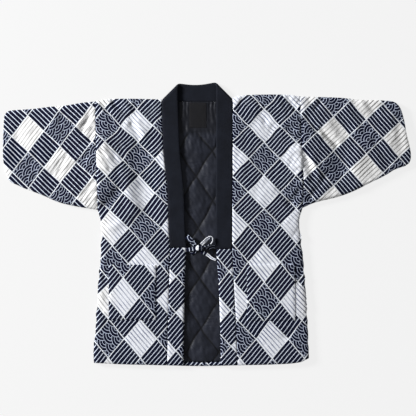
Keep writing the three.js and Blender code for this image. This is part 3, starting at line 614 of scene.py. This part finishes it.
def print_cloth():
    """Indigo cotton with striped, plain and wave tiles in a diamond lattice."""
    material, tree, shader = new_material("print_cloth")
    a, b = print_parts(tree)
    tile_a, tile_b = ((part + 0.5).join("FLOOR") for part in (a, b))
    in_a, in_b = a - tile_a, b - tile_b
    odd_a, odd_b = (tile.join("FLOORED_MODULO", 2.0) for tile in (tile_a, tile_b))
    is_wave = odd_a * odd_b
    is_plain = odd_a.inverse() * odd_b.inverse()
    from_edge_a, from_edge_b = in_a.join("ABSOLUTE"), in_b.join("ABSOLUTE")

    stripe = ((in_a + 0.5) * STRIPES).join("PINGPONG", 0.5).below(*STRIPE)
    stripe = stripe * from_edge_b.below(*STRIPE_END)

    # The plain tiles' soft lines are uneven, and a little fainter to the left: painted shade darkens them
    # towards the right, away from the key light
    from_middle = object_parts(tree)[0]
    soft_line = ((in_b + 0.5) * STRIPES + 0.5).join("PINGPONG", 0.5).below(*SOFT_LINE)
    uneven = object_noise(tree, scale=19, detail=3).below(0.5, 0.15).inverse() * 0.5 + 0.5
    # Painted shade: the lines grow stronger from left to right
    soft_line = soft_line * uneven * (from_middle * 0.15 + 0.92)
    on_body = from_middle.join("ABSOLUTE").below(*BODY_REACH)
    tile_white = color_mix(on_body, SLEEVE_WHITE, BODY_WHITE)
    tile_grey = color_mix(on_body, SLEEVE_GREY, BODY_GREY)

    # Waves face the other way in every second column
    facing = ((tile_a + tile_b) * 0.5).join("FLOORED_MODULO", 2.0) * -2 + 1
    waves = wave_lines(in_a * (1 / WAVE_RADIUS) + WAVE_SHIFT, in_b * facing * (1 / WAVE_RADIUS))

    color = color_mix(is_wave, color_mix(stripe, NAVY, LINE_WHITE), color_mix(waves, WAVE_NAVY, WAVE_LIGHT))
    color = color_mix(is_plain, color, color_mix(soft_line, tile_white, tile_grey))
    edge = from_edge_a.join("MAXIMUM", from_edge_b).below(*SEPARATOR).inverse()
    color = color_mix(edge, color, EDGE_WHITE)
    aged = color_mix(object_noise(tree, scale=26, detail=4) * WEAR, color, WORN_GREY)
    finish = {"Roughness": 0.9, "Sheen Weight": 0.03, "Specular IOR Level": 0.12}
    finish_cloth(tree, shader, aged, finish, pitch=0.0011, strength=0.35)
    return material


def plain_cloth(name, low, high, roughness, gloss, pitch, strength):
    """Plain woven cloth whose colour varies a little between two tones."""
    material, tree, shader = new_material(name)
    color = color_mix(object_noise(tree, scale=26, detail=5), low, high)
    finish = {"Roughness": roughness, "Specular IOR Level": gloss}
    finish |= {"Sheen Weight": 0.03, "Sheen Roughness": 0.4}
    finish_cloth(tree, shader, color, finish, pitch, strength)
    return material


# The lining's sewn lines, in parts of a diamond: how far painted shade reaches from them, and their thread
# and stitches
SEAM_SHADE = 0.12
THREAD = (0.016, 0.004)
STITCHES = 14
STITCH_LENGTH = (0.7, 0.05)


def quilted_cloth():
    """Smooth lining cloth, drawn in along its sewn diamonds and darker there with painted shade, with a
    painted shadow of the collar above the yoke, and the stitches' thread.
    """
    material, tree, shader = new_material("lining_cloth")
    a, b = print_parts(tree)
    from_a, from_b = a.join("PINGPONG", 1.0), b.join("PINGPONG", 1.0)
    below_yoke = object_parts(tree)[1].below(YOKE * MM, 0.008)
    # Painted shade along the sewn grooves, none above the yoke
    painted_groove_shade = from_a.join("MINIMUM", from_b).below(0.5 * SEAM_SHADE, 0.5 * SEAM_SHADE) * below_yoke
    stitch_a, stitch_b = (
        across.below(*THREAD) * (along_it * STITCHES).join("FRACT").below(*STITCH_LENGTH)
        for across, along_it in ((from_a, b), (from_b, a))
    )
    cloth = color_mix(object_noise(tree, scale=22, detail=5), srgb(15, 17, 25), srgb(42, 46, 59))
    # Painted shade: the groove shade, and a painted shadow of the collar over the plain yoke
    painted_shade = (painted_groove_shade * 0.85).join("MAXIMUM", below_yoke.inverse() * 0.55)
    # Lining cloth darkened by the painted shade
    cloth_with_painted_shade = color_mix(painted_shade, cloth, srgb(6, 7, 12))
    color = color_mix(stitch_a.join("MAXIMUM", stitch_b) * below_yoke, cloth_with_painted_shade, srgb(3, 3, 5))
    finish = {"Roughness": 0.5, "Sheen Weight": 0.04, "Specular IOR Level": 0.25}
    finish_cloth(tree, shader, color, finish, pitch=0.0008, strength=0.2)
    return material


PRINT = print_cloth()
COLLAR_CLOTH = plain_cloth(
    "plain_navy", srgb(10, 12, 19), srgb(30, 34, 45),
    roughness=0.85, gloss=0.15, pitch=0.0011, strength=0.5,
)
LINING_CLOTH = quilted_cloth()
LABEL_CLOTH = plain_cloth(
    "label_cloth", srgb(14, 14, 18), srgb(22, 22, 27),
    roughness=0.75, gloss=0.2, pitch=0.0009, strength=0.6,
)


# Panels

def wavered(grid, edge):
    """Grid whose free side below the underarm wavers a little."""
    x, y = np.moveaxis(grid, -1, 0)
    near = np.exp(-np.abs(x - edge_at(edge, 1, y)) / 20) * ramp(y, 20, -30)
    return points_of(x + SIDE_WAVER * near * noise_field(0 * x, y, 25, 61), y)


def front(name, edges, outer, pocket, rows_print, seed):
    """Padded front, thin at its seams and rounded at its free edges."""
    left, right, low, high = edges
    outer_edge, inner_edge = (left, right) if outer == "left" else (right, left)
    span = left[-1][-1][1] - left[0][0][1]
    grid = patch(edges, steps(FRONT_WIDTH, FRONT_SPACING[0]), steps(span, FRONT_SPACING[1]))
    x, y = np.moveaxis(wavered(grid, outer_edge), -1, 0)
    underarm = outer_edge[1][0][1]
    from_side = np.abs(x - edge_at(outer_edge, 1, y))
    from_seam = np.abs(x - edge_at(inner_edge, 1, y))
    from_shoulder = edge_at(high, 0, x) - y
    share = np.where(y > underarm, rise(from_side, ROUND_ARMHOLE), rise(from_side, ROUND_OPEN))
    share = share * rise(from_seam, ROUND_FRONT_SEAM) * rise(y - edge_at(low, 0, x), ROUND_HEM)
    share = share * rise(from_shoulder, ROUND_OPEN)
    # Small relief weakens towards the hem, and all relief ends before the pocket
    puckers = creases(x, y, seed, PUCKER_HEIGHT) * ramp(y, 20, 180, 0.35)
    narrow = crinkles(x, y, from_side, FRONT_CRINKLES[outer], seed)
    narrow = narrow * ramp(y, underarm - 30, underarm + 30, 0.3)
    uneven = 0.5 * noise_field(x, y, 90, seed + 4)
    gather = gathers(ARMHOLE_GATHERS, y, from_side, uneven) * (y > underarm)
    gather = gather + gathers(SHOULDER_GATHERS, x, from_shoulder)
    pull = gathers(FRONT_SEAM_PULL, y, from_seam, noise_field(x, y, 60, seed + 9))
    relief = fold_height(BODY_FOLDS, x, y) + puckers + narrow + gather + pull
    relief = relief * ramp(from_box(pocket, x, y), 3, 17)
    z = FRONT_BASE + share * eased(FRONT_THICKNESS + relief, FRONT_EASE)
    moved = wavering(x, y, PRINT_WAVER * ramp(y, 40, 190, 0.3), 42, seed)
    return slab(name, x, y, z, FRONT_BASE, PRINT, tile_place(rows_print, *moved))


LEFT_EDGE = [LEFT_SIDE, LEFT_ARMHOLE]
RIGHT_EDGE = [RIGHT_SIDE, RIGHT_ARMHOLE]
LEFT_SEAM = shifted([LEFT_BAND_SEAM, LEFT_COLLAR_SEAM[:-1] + [(-136, 374)]], -SEAM_GAP)
RIGHT_SEAM = shifted([RIGHT_BAND_SEAM, RIGHT_COLLAR_SEAM[:-1] + [(77, 379)]], SEAM_GAP)
front_left = front(
    "front_left_cloth",
    (LEFT_EDGE, LEFT_SEAM, [HEM[:2] + [(-119.3, -422.5)]], [LEFT_SHOULDER]),
    "left", POCKET_LEFT, LEFT_PRINT, 3,
)
front_right = front(
    "front_right_cloth",
    (RIGHT_SEAM, RIGHT_EDGE, [[(91.3, -422.5)] + HEM[5:]], [RIGHT_SHOULDER]),
    "right", POCKET_RIGHT, RIGHT_PRINT, 17,
)


def back():
    """Outer cloth of the back, with its padded hem turned up on the inside."""
    raised = [(x, y + HEM_ROLL) for x, y in HEM]
    left, right = (
        [[(side[0][0], side[0][1] + HEM_ROLL)] + side[1:], armhole]
        for side, armhole in (LEFT_EDGE, RIGHT_EDGE)
    )
    neck = [(-138, 374), (-136, NECKLINE - SEAM_GAP), (77, NECKLINE - SEAM_GAP), (79, 379)]
    high = [LEFT_SHOULDER[:-1] + neck[:1], neck[:2], neck[1:3], neck[2:], neck[3:] + RIGHT_SHOULDER[1:]]
    width = RIGHT_ARMHOLE[-1][0] - LEFT_ARMHOLE[-1][0]
    height = LEFT_ARMHOLE[-1][1] - HEM[0][1]
    # The rim along the sides and shoulders stands up round the lining
    inner_rim = 0.8 * RIM
    corners = [(rows[0][0] - LEFT_ARMHOLE[-1][0]) / width for rows in high[1:]]
    across = np.unique(np.concatenate([steps(width, 6, (0, 1.5, inner_rim, RIM)), corners]))
    up = np.concatenate([np.linspace(0, 1 - RIM / height, 130), [1 - inner_rim / height, 1]])
    panel = wavered(wavered(patch((left, right, [raised], high), across, up), left), right)
    roll_top = LINING_TOP - SEAM_GAP
    u, v = np.meshgrid(across, up)
    on_neck = (u >= corners[0]) & (u <= corners[-1])
    side = np.minimum(u, 1 - u) <= 0.81 * RIM / width
    top = (v >= 1 - 0.81 * RIM / height) & ~on_neck
    panel_z = np.where(side | top, roll_top, BACK_CLOTH)
    # The hem roll is half round in section, from its outer edge to its inner one
    parts = np.linspace(1, 0.04, 12)
    crown = np.sqrt(np.clip(1 - ((parts - 0.6) / 0.42) ** 2, 0, 1))
    roll = np.array([panel[0] - np.array([0, part * HEM_ROLL]) for part in parts])
    roll_z = np.broadcast_to(mix(HEM_LOW, roll_top, crown)[:, None], roll.shape[:2])
    x, y = np.moveaxis(np.concatenate([roll, panel]), -1, 0)
    z = np.concatenate([roll_z, panel_z])
    return slab("back_cloth", x, y, z, 0.0, PRINT, tile_place(BACK_PRINT, x, y))


def quilt_place(x, y):
    """Coordinates whose even values are the sewn lines."""
    x = x + 5 * noise_field(x, y, 60, 43)
    across = (x - QUILT_X + QUILT_LEAN * (y - QUILT_Y)) / QUILT_HALF_WIDTH
    up = (y - QUILT_Y + 5 * noise_field(x, y, 60, 44)) / QUILT_HALF_HEIGHT
    return points_of(across + up, across - up)


def lining_height(a, b, y):
    """Quilted surface: puffed diamonds between sewn lines, plain above them."""
    puff = np.abs(np.sin(pi * a / 2) * np.sin(pi * b / 2)) ** 0.42
    quilted = LINING_TOP - (LINING_PUFF + GROOVE_DEPTH) * (1 - puff)
    t = ramp(y, YOKE - 9, YOKE + 9)
    return mix(quilted, YOKE_TOP, t * t * (3 - 2 * t))


def lining():
    """Quilted lining, gathered a little at the neck seam."""
    inset = RIM + 5 * SEAM_GAP
    left, right = shifted(LEFT_EDGE, inset), shifted(RIGHT_EDGE, -inset)
    bottom = HEM[0][1] + HEM_ROLL + 14
    visible = np.linspace(*LINING_FINE, 98)
    rows = []
    for y in np.linspace(bottom, NECKLINE - SEAM_GAP, 230):
        hidden_left = np.linspace(float(edge_at(left, 1, y)), visible[0], 12)[:-1]
        hidden_right = np.linspace(visible[-1], float(edge_at(right, 1, y)), 12)[1:]
        across = np.concatenate([hidden_left, visible, hidden_right])
        rows.append(points_of(across, y))
    x, y = np.moveaxis(np.array(rows), -1, 0)
    # The lowest rows follow the hem, and the highest the shoulders
    over_hem = edge_at([HEM], 0, x) + HEM_ROLL + 4 * SEAM_GAP
    y = y + ramp(y, bottom + 60, bottom) * (over_hem - bottom)
    shoulder = np.minimum(smooth(LEFT_SHOULDER, 0, x), smooth(RIGHT_SHOULDER, 0, x))
    y = np.minimum(y, shoulder - RIM - 2 * SEAM_GAP)
    place = quilt_place(x, y)
    a, b = np.moveaxis(place, -1, 0)
    from_x, to_x = LINING_SHOWS
    shows = ramp(x, from_x, from_x + 12) * ramp(x, to_x, to_x - 12)
    off_label = from_box(LABEL, x, y) > 3
    gather = gathers(NECK_GATHERS, x, NECKLINE - y, 0.6 * noise_field(x, y, 45, 31)) * off_label
    across_seam = np.sin(2 * pi * (a - b) * 4.5 + 3 * noise_field(x, y, 30, 47))
    pucker = 1.7 * creases(x, y, 41, 1) + 0.5 * across_seam * (0.5 + noise_field(x, y, 40, 48))
    pucker = pucker + 1.3 * noise_field(x, y, 9, 49, (1, 1.8), 30)
    z = lining_height(a, b, y) + shows * (gather + pucker * np.where(off_label, 1, 0.1))
    z = np.minimum(z, LINING_TOP + 0.9 * shows)
    z = LINING_BASE + eased(z - LINING_BASE, LINING_EASE)
    # Hidden under the fronts, the puffs stay below them
    z = np.where(shows < 0.5, np.minimum(z, LINING_TOP), z)
    return slab("lining_cloth_back", x, y, z, LINING_BASE, LINING_CLOTH, place)


def sleeve(name, edges, folds, lattice, armhole_side, seed):
    """Padded sleeve: a flattened tube, its two layers lying on each other."""
    middle = SLEEVE_THICKNESS + SLEEVE_HOLLOW / 2
    length, girth = SLEEVE_SPAN
    reach_steps = steps(length, SLEEVE_SPACING)
    ring_up = steps(girth, SLEEVE_SPACING, SLEEVE_FOLD_STEPS)
    ring_down = steps(girth, SLEEVE_UNDER_SPACING, SLEEVE_FOLD_STEPS)[1:-1][::-1]
    us = reach_steps if armhole_side == "right" else 1 - reach_steps
    width = np.linalg.norm(patch(edges, us, [1])[0] - patch(edges, us, [0])[0], axis=1)
    end = rise(reach_steps * length, ROUND_SLEEVE_END) * rise((1 - reach_steps) * length, ROUND_SLEEVE_END)

    def skin(inset):
        parts = []
        for ring, sign in ((ring_up, 1), (ring_down, -1)):
            columns = []
            for u, w, end_share in zip(us, width, end):
                x, y = patch(edges, [u], mix(inset / w, 1 - inset / w, ring))[:, 0].T
                edge = np.minimum(ring, 1 - ring) * w
                if inset:
                    z = rise(edge, ROUND_SLEEVE_HOLLOW) * SLEEVE_HOLLOW / 2
                elif sign > 0:
                    z = rise(edge, ROUND_SLEEVE_FOLD) * (middle * end_share + fold_height(folds, x, y))
                else:
                    z = rise(edge, ROUND_SLEEVE_FOLD) * middle
                columns.append(points_of(x, y, middle + sign * z))
            parts.append(np.array(columns))
        return parts

    upper, lower = skin(0)
    x, y, z = np.moveaxis(upper, -1, 0)
    # Small folds fan out from the armhole and gather towards the underarm
    from_seam = np.abs(x - ARMHOLE_X[armhole_side])
    from_fold = np.minimum(ring_up, 1 - ring_up)
    soft = creases(x, y, seed, PUCKER_HEIGHT) * rise(from_seam, (10, 0.2))
    soft += crinkles(x, y, from_seam, SLEEVE_CRINKLES[armhole_side], seed) * rise(from_seam, (8, 0.2))
    fan = gathers(SLEEVE_GATHERS, y + from_seam / 4, from_seam, 0.5 * noise_field(x, y, 70, seed + 5))
    relief = (soft + fan * rise(from_seam, (6, 0.3))) * rise(from_fold * girth, (26, 0))
    plain = np.maximum(rise(from_fold * width[:, None], ROUND_SLEEVE_FOLD) * end[:, None] * middle, 0.001)
    upper[..., 2] = middle + eased(z - middle + relief, SLEEVE_EASE * plain)
    outer = np.concatenate([upper, lower], axis=1)
    inner = np.concatenate(skin(SLEEVE_THICKNESS), axis=1)
    rings, count = outer.shape[:2]
    size = rings * count
    faces = grid_faces(rings, count, closed=True) + grid_faces(rings, count, size, True, True)
    last = size - count
    for j in range(count):
        k = (j + 1) % count
        faces += [[j, size + j, size + k, k], [last + k, last + size + k, last + size + j, last + j]]
    if armhole_side == "left":
        faces = [face[::-1] for face in faces]
    points = np.concatenate([outer.reshape(-1, 3), inner.reshape(-1, 3)])
    moved = wavering(points[:, 0], points[:, 1], SLEEVE_WAVER, 46, seed)
    return make_object(name, points, faces, PRINT, sleeve_place(lattice, *moved))


back_cloth = back()
lining_cloth = lining()
sleeve_left = sleeve(
    "sleeve_left_cloth",
    (
        [LEFT_CUFF], shifted([LEFT_ARMHOLE], -SEAM_GAP), [LEFT_SLEEVE_UNDER[:-1] + [(-327.3, 43)]],
        [LEFT_SLEEVE_TOP[:-1] + [(-335.3, 368)]],
    ),
    LEFT_SLEEVE_FOLDS, LEFT_SLEEVE_PRINT, "right", 53,
)
sleeve_right = sleeve(
    "sleeve_right_cloth",
    (
        shifted([RIGHT_ARMHOLE], SEAM_GAP), [RIGHT_CUFF], [[(286.3, 49)] + RIGHT_SLEEVE_UNDER[1:]],
        [[(278.3, 383)] + RIGHT_SLEEVE_TOP[1:]],
    ),
    RIGHT_SLEEVE_FOLDS, RIGHT_SLEEVE_PRINT, "left", 71,
)


# Collar and bands

def collar():
    """One strip up the left front, rolled over at the neck corner, behind the neck, and down again."""
    shift = pi * COLLAR_ROLL / 2 / sqrt(2)
    axis = (COLLAR_ROLL + COLLAR_THICKNESS / 2) * sqrt(2)
    level = COLLAR_THICKNESS / 2 + COLLAR_ROLL
    parts = np.array([0, 0.012, 0.04, 0.09, 0.16, 0.26, 0.38, 0.5, 0.62, 0.74, 0.84, 0.91, 0.96, 0.988, 1])
    edge = np.minimum(parts, 1 - parts) * COLLAR_WIDTH
    shares = rise(edge, ROUND_COLLAR)

    def half(seam, mirror, part, offset):
        corner = (seam[-1][0] + mirror * CORNER_EASE, seam[-1][1])
        across = part * COLLAR_WIDTH
        top = across - axis
        y = np.linspace(seam[0][1] - corner[1], top, 121)[:-1]
        lean = mirror * (edge_at([seam], 1, corner[1] + y) - corner[0])
        end = mix(0.6, 1, ramp(y, y[0], y[0] + 5))
        leg = points_of(across + lean, y, level + COLLAR_ROLL + offset * end)
        angle = np.radians(np.linspace(-90, 90, 25))
        total = 2 * (across + shift) - axis + COLLAR_ROLL * angle * sqrt(2)
        out = (COLLAR_ROLL + offset) * np.cos(angle) / sqrt(2)
        down = (COLLAR_ROLL + offset) * np.sin(angle)
        rolled = points_of((total + axis) / 2 - out, (total - axis) / 2 + out, level - down)
        return np.array((*corner, 0)) + np.concatenate([leg, rolled]) * (mirror, 1, 1)

    def line(part, offset):
        left = half(LEFT_COLLAR_SEAM, 1, part, offset)
        right = half(RIGHT_COLLAR_SEAM, -1, part, offset)[::-1]
        t = np.linspace(0, 1, 62)[1:-1]
        neck = mix(left[-1][None, :], right[0][None, :], t[:, None])
        middle = np.sin(pi * t)
        above = neck[:, 1] - part * COLLAR_WIDTH - NECKLINE
        neck[:, 1] -= above * (1 - part) * np.minimum(1, 2 * middle) + COLLAR_DIP * part * middle
        return np.concatenate([left, neck, right])

    def skin(sign):
        grid = np.array([line(p, sign * s * COLLAR_THICKNESS / 2) for p, s in zip(parts, shares)])
        # Soft uneven ripples across the strip, deepest by its edges
        x, y, z = np.moveaxis(grid, -1, 0)
        level_part = (z > FRONT_BASE) & (sign > 0)
        ripple = gathers(COLLAR_RIPPLES, y, edge[:, None], noise_field(x, y, 50, 90))
        grid[..., 2] += level_part * (ripple + 0.5 * creases(x, y, 87, 1) * rise(edge, (9, 0))[:, None])
        return grid

    return wall("collar_cloth", skin(-1), skin(1), COLLAR_CLOTH)


def band(name, seam, edge, outer, rows_print, seed):
    """Printed band along a front's edge, below the collar."""
    top, bottom = seam[-1][1] - SEAM_GAP, seam[0][1]
    ys = bottom + (top - bottom) * steps(top - bottom, BAND_SPACING[1])
    us = steps(COLLAR_WIDTH, BAND_SPACING[0])
    start, stop = (seam, edge) if outer == "left" else (edge, seam)
    x = mix(smooth(start, 1, ys)[:, None], smooth(stop, 1, ys)[:, None], us)
    y = np.broadcast_to(ys[:, None], x.shape)
    from_sides = us * COLLAR_WIDTH, (1 - us) * COLLAR_WIDTH
    from_seam, from_edge = from_sides if outer == "left" else from_sides[::-1]
    share = rise(from_seam, ROUND_BAND_SEAM) * rise(from_edge, ROUND_BAND_EDGE)
    share = share * rise(y - bottom, ROUND_HEM) * rise(top - y, ROUND_BAND_TOP)
    ripple = gathers(BAND_RIPPLES, y, from_seam, noise_field(x, y, 50, seed))
    z = FRONT_BASE + share * (BAND_THICKNESS + ripple + 0.5 * creases(x, y, seed + 2, 1))
    return slab(name, x, y, z, FRONT_BASE, PRINT, tile_place(rows_print, x, y))


collar_cloth = collar()
band_left = band("band_left_cloth", LEFT_BAND_SEAM, LEFT_BAND_EDGE, "left", LEFT_BAND_PRINT, 101)
band_right = band("band_right_cloth", RIGHT_BAND_SEAM, RIGHT_BAND_EDGE, "right", RIGHT_BAND_PRINT, 113)


# Pockets and label

def patch_piece(name, box, base, thickness, material, rows_print=None, hem=0.0, seed=0):
    """Flat piece sewn on a panel. Its upper hem is thicker, and its edges dip at the stitching."""
    left, bottom, right, top = box
    us, vs = (steps(size, PATCH_SPACING, PATCH_EDGE_STEPS) for size in (right - left, top - bottom))
    x, y = np.meshgrid(mix(left, right, us), mix(bottom, top, vs))
    edge = np.minimum(np.minimum(x - left, right - x), np.minimum(y - bottom, top - y))
    z = thickness * rise(edge, ROUND_PATCH)
    if hem:
        z = z + 0.5 / (1 + np.exp((top - hem - y) / 0.8)) * rise(edge, (4, 0))
        z = z + 0.45 * creases(x, y, seed, 1) * rise(edge, (10, 0))
    z = base + z - 0.25 * np.exp(-(((edge - 3) / 0.8) ** 2))
    place = None if rows_print is None else tile_place(rows_print, x, y)
    return slab(name, x, y, z, base, material, place)


pocket_left = patch_piece(
    "pocket_left_cloth", POCKET_LEFT, POCKET_BASE, POCKET_THICKNESS, PRINT, LEFT_POCKET_PRINT, 22, 131,
)
pocket_right = patch_piece(
    "pocket_right_cloth", POCKET_RIGHT, POCKET_BASE, POCKET_THICKNESS, PRINT, RIGHT_POCKET_PRINT, 22, 137,
)
label = patch_piece("neck_label_cloth", LABEL, LABEL_BASE, LABEL_THICKNESS, LABEL_CLOTH)


# Ties and bow

TIE_WIDTH = 12
TIE_THICKNESS = 2.4
TILE_SIDE = 69
# Each strip's width, or the widths of its ends, the tile place where its print starts, and its
# route: x, y, z and the turn of its width in degrees
STRIPS = {
    "tie_left": (TIE_WIDTH, (0.52, 0.06), [
        (-61, -77, 12.8, 0), (-48, -75, 13.6, 0), (-35.6, -72.6, 14.6, 0),
    ]),
    "tie_right": ((TIE_WIDTH, 6), (1.24, 0), [
        (-17, -82.6, 14.6, 0), (-7, -86.5, 12.8, 0), (4, -93, 11, 0), (14, -101, 11, 0),
        (26.6, -107, 11.4, 0),
    ]),
    "bow_loop_left": (14, (0.62, 1), [
        (-33, -61.6, 18.4, 0), (-46, -50, 19, 4), (-57, -39.5, 18, 0), (-59.6, -37, 15.9, 0),
        (-57, -39.5, 13.8, 0), (-46, -50.5, 14.2, 0), (-34.4, -62, 15.2, 0),
    ]),
    "bow_loop_right": (10.5, (-0.42, -0.1), [
        (-16.4, -61, 17.8, 10), (-6, -50, 18.4, 20), (4, -41, 18, 45), (12.5, -36.5, 17.5, 85),
        (17.5, -43, 17.2, 95), (14.5, -54, 17.1, 90), (6, -62, 17.1, 88), (-13.5, -67.6, 17.1, 86),
    ]),
    "bow_tail_left": (TIE_WIDTH, (0.8, 1.05), [
        (-32.6, -78.6, 10.4, 0), (-40, -82, 10.2, 0), (-49, -87.5, 10.1, 0),
    ]),
    "bow_tail_right": (10, (0.86, 0.74), [
        (-15, -70, 10.2, 0), (0, -69.5, 10, 0), (12, -69, 10, 0), (24, -68, 10, 0),
    ]),
}
KNOT_CENTER = (-24, -71, 15.4)
KNOT_SIZE = (20, 18, 12.6)
KNOT_PRINT = (0.53, 0.1)


def through_points(route, count):
    """Points, directions and turns of a smooth curve through a route."""
    rows = np.array(route, dtype=float)
    padded = np.concatenate([[2 * rows[0] - rows[1]], rows, [2 * rows[-1] - rows[-2]]])
    t = np.linspace(0, len(rows) - 1, count)
    k = np.minimum(t.astype(int), len(rows) - 2)
    f = (t - k)[:, None]
    p0, p1, p2, p3 = (padded[k + i] for i in range(4))
    bend = 2 * p0 - 5 * p1 + 4 * p2 - p3
    twist = 3 * p1 - p0 - 3 * p2 + p3
    points = 0.5 * (2 * p1 + (p2 - p0) * f + bend * f**2 + twist * f**3)
    slope = 0.5 * (p2 - p0 + 2 * bend * f + 3 * twist * f**2)
    return points[:, :3], slope[:, :3], mix(rows[k, 3], rows[k + 1, 3], f[:, 0])


def strip(name, width, start, route):
    """Folded strip of the printed cloth along its route, crowned, with a crease along its middle."""
    centers, slopes, turns = through_points(route, 90)
    parts = np.sin(np.linspace(-pi / 2, pi / 2, 17))
    shares = 0.35 + 0.65 * np.sqrt(np.clip(1 - np.abs(parts) ** 5, 0, 1))
    length = np.concatenate([[0], np.cumsum(np.linalg.norm(np.diff(centers, axis=0), axis=1))])
    first, last = np.broadcast_to(width, 2)
    side = Vector((0, 0, 0))
    upper, lower = [], []
    for center, slope, turn, place in zip(centers, slopes, turns, length):
        forward = Vector(slope).normalized()
        level = forward.cross(Vector((0, 0, 1)))
        if level.length > 0.3:
            level.normalize()
            side = -level if level.dot(side) < 0 else level
        across = Matrix.Rotation(radians(turn), 3, forward) @ side
        normal = np.array(across.cross(forward).normalized())
        pleat = 0.22 * np.exp(-((parts * 4) ** 2)) + 0.1 * np.sin(place / 2.6 + parts * 2.5)
        half = mix(first, last, place / length[-1]) / 2
        row = center + parts[:, None] * half * np.array(across)
        lift = (shares * (TIE_THICKNESS / 2 - pleat))[:, None] * normal
        upper.append(row + lift)
        lower.append(row - lift)
    a, b = start
    place = points_of(a + length[:, None] / TILE_SIDE, b + parts * TIE_WIDTH / 2 / TILE_SIDE)
    return wall(f"{name}_cloth", np.array(upper), np.array(lower), PRINT, place)


def knot():
    """Knot of the wrapped strip, with the grooves of its turns."""
    rows, cols = 33, 48
    polar = np.linspace(0.02, pi - 0.02, rows)[:, None]
    turn = np.linspace(0, 2 * pi, cols, endpoint=False)
    unit = points_of(np.cos(polar), np.sin(polar) * np.cos(turn), np.sin(polar) * np.sin(turn))
    along_it = unit[..., 0]
    grooves = sum(np.exp(-((along_it * 9 + place) ** 2)) for place in (-2.2, 2.4))
    wrinkle = 1 - 0.02 * (1 + np.sin(9 * along_it + 3 * turn))
    soft = np.sign(unit) * np.abs(unit) ** 0.8
    points = KNOT_CENTER + soft * np.array(KNOT_SIZE) / 2 * ((1 - 0.05 * grooves) * wrinkle)[..., None]
    faces = grid_faces(rows, cols, flipped=True, closed=True)
    ends = np.arange(rows * cols).reshape(rows, cols)[[0, -1]].tolist()
    faces += [ends[0], ends[1][::-1]]
    place = np.array(KNOT_PRINT) + unit[..., :2] * 11 / TILE_SIDE
    return make_object("bow_knot_cloth", points.reshape(-1, 3), faces, PRINT, place.reshape(-1, 2))


strips = {name: strip(name, *spec) for name, spec in STRIPS.items()}
bow_knot = knot()


# What each piece is

PRINTED = {
    "back": (back_cloth, (0.66, 0.81), "laid", []),
    "front_left": (front_left, (0.21, 0.79), "laid", ["lining_back"]),
    "front_right": (front_right, (0.21, 0.80), "laid", ["lining_back"]),
    "sleeve_left": (sleeve_left, (0.275, 0.56), "laid", []),
    "sleeve_right": (sleeve_right, (0.29, 0.56), "laid", []),
    "band_left": (band_left, (0.049, 0.352), "laid", ["lining_back"]),
    "band_right": (band_right, (0.049, 0.349), "laid", ["lining_back"]),
    "pocket_left": (pocket_left, (0.141, 0.165), "laid", ["front_left"]),
    "pocket_right": (pocket_right, (0.144, 0.170), "laid", ["front_right"]),
    "bow_knot": (bow_knot, (0.018, 0.036), "folded", ["lining_back"]),
}
def stand_in(piece, node):
    """The piece rides on the one body and stands for a node, whose own part is hidden."""
    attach(piece, "root")
    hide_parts(node)


for node, (piece, flat, held, rests_on) in PRINTED.items():
    stand_in(piece, node)
for node, piece in strips.items():
    stand_in(piece, node)
stand_in(collar_cloth, "collar")
stand_in(lining_cloth, "lining_back")
stand_in(label, "neck_label")


# Camera, floor and light

FLOOR_SIZE = 12000
FLOOR_GAP = 0.5
WORLD_LIGHT = 0.17
# Each light's place and size in metres, and its power in watts
LIGHTS = {"key": ((-4.9, 2.0, 2.1), 1.2, 635), "fill": ((1.6, -1.2, 3.4), 3.0, 8)}


def add_camera():
    camera = add_object("camera", bpy.data.cameras.new("camera"))
    camera.data.sensor_width = SENSOR
    camera.data.lens = SENSOR * CAMERA_HEIGHT / VIEW_WIDTH
    camera.data.clip_end = 100
    camera.location = Vector((*VIEW_CENTER, CAMERA_HEIGHT)) * MM
    bpy.context.scene.camera = camera


def add_floor():
    material, _, shader = new_material("floor_paint")
    set_values(shader, {"Base Color": (0.09, 0.09, 0.09, 1), "Roughness": 0.9, "Specular IOR Level": 0.1})
    set_values(shader, {"Emission Color": (1, 1, 1, 1), "Emission Strength": 0.82})
    half = FLOOR_SIZE / 2
    corners = [(x * half, y * half, -FLOOR_GAP) for x, y in ((-1, -1), (1, -1), (1, 1), (-1, 1))]
    make_object("floor", corners, [[0, 1, 2, 3]], material)


def add_light(name, place, size, power):
    """Soft square light that faces the garment's middle."""
    data = bpy.data.lights.new(name, "AREA")
    data.shape = "SQUARE"
    data.size = size
    data.energy = power
    lamp = add_object(name, data)
    lamp.location = place
    lamp.rotation_euler = (-Vector(place)).to_track_quat("-Z", "Y").to_euler()


def add_world(strength):
    world = bpy.data.worlds.new("studio")
    bpy.context.scene.world = world
    world.use_nodes = True
    set_values(world.node_tree.nodes["Background"], {"Color": (1, 1, 1, 1), "Strength": strength})


add_camera()
add_floor()
for name, light in LIGHTS.items():
    add_light(name, *light)
add_world(WORLD_LIGHT)
bpy.context.scene.view_settings.view_transform = "Standard"
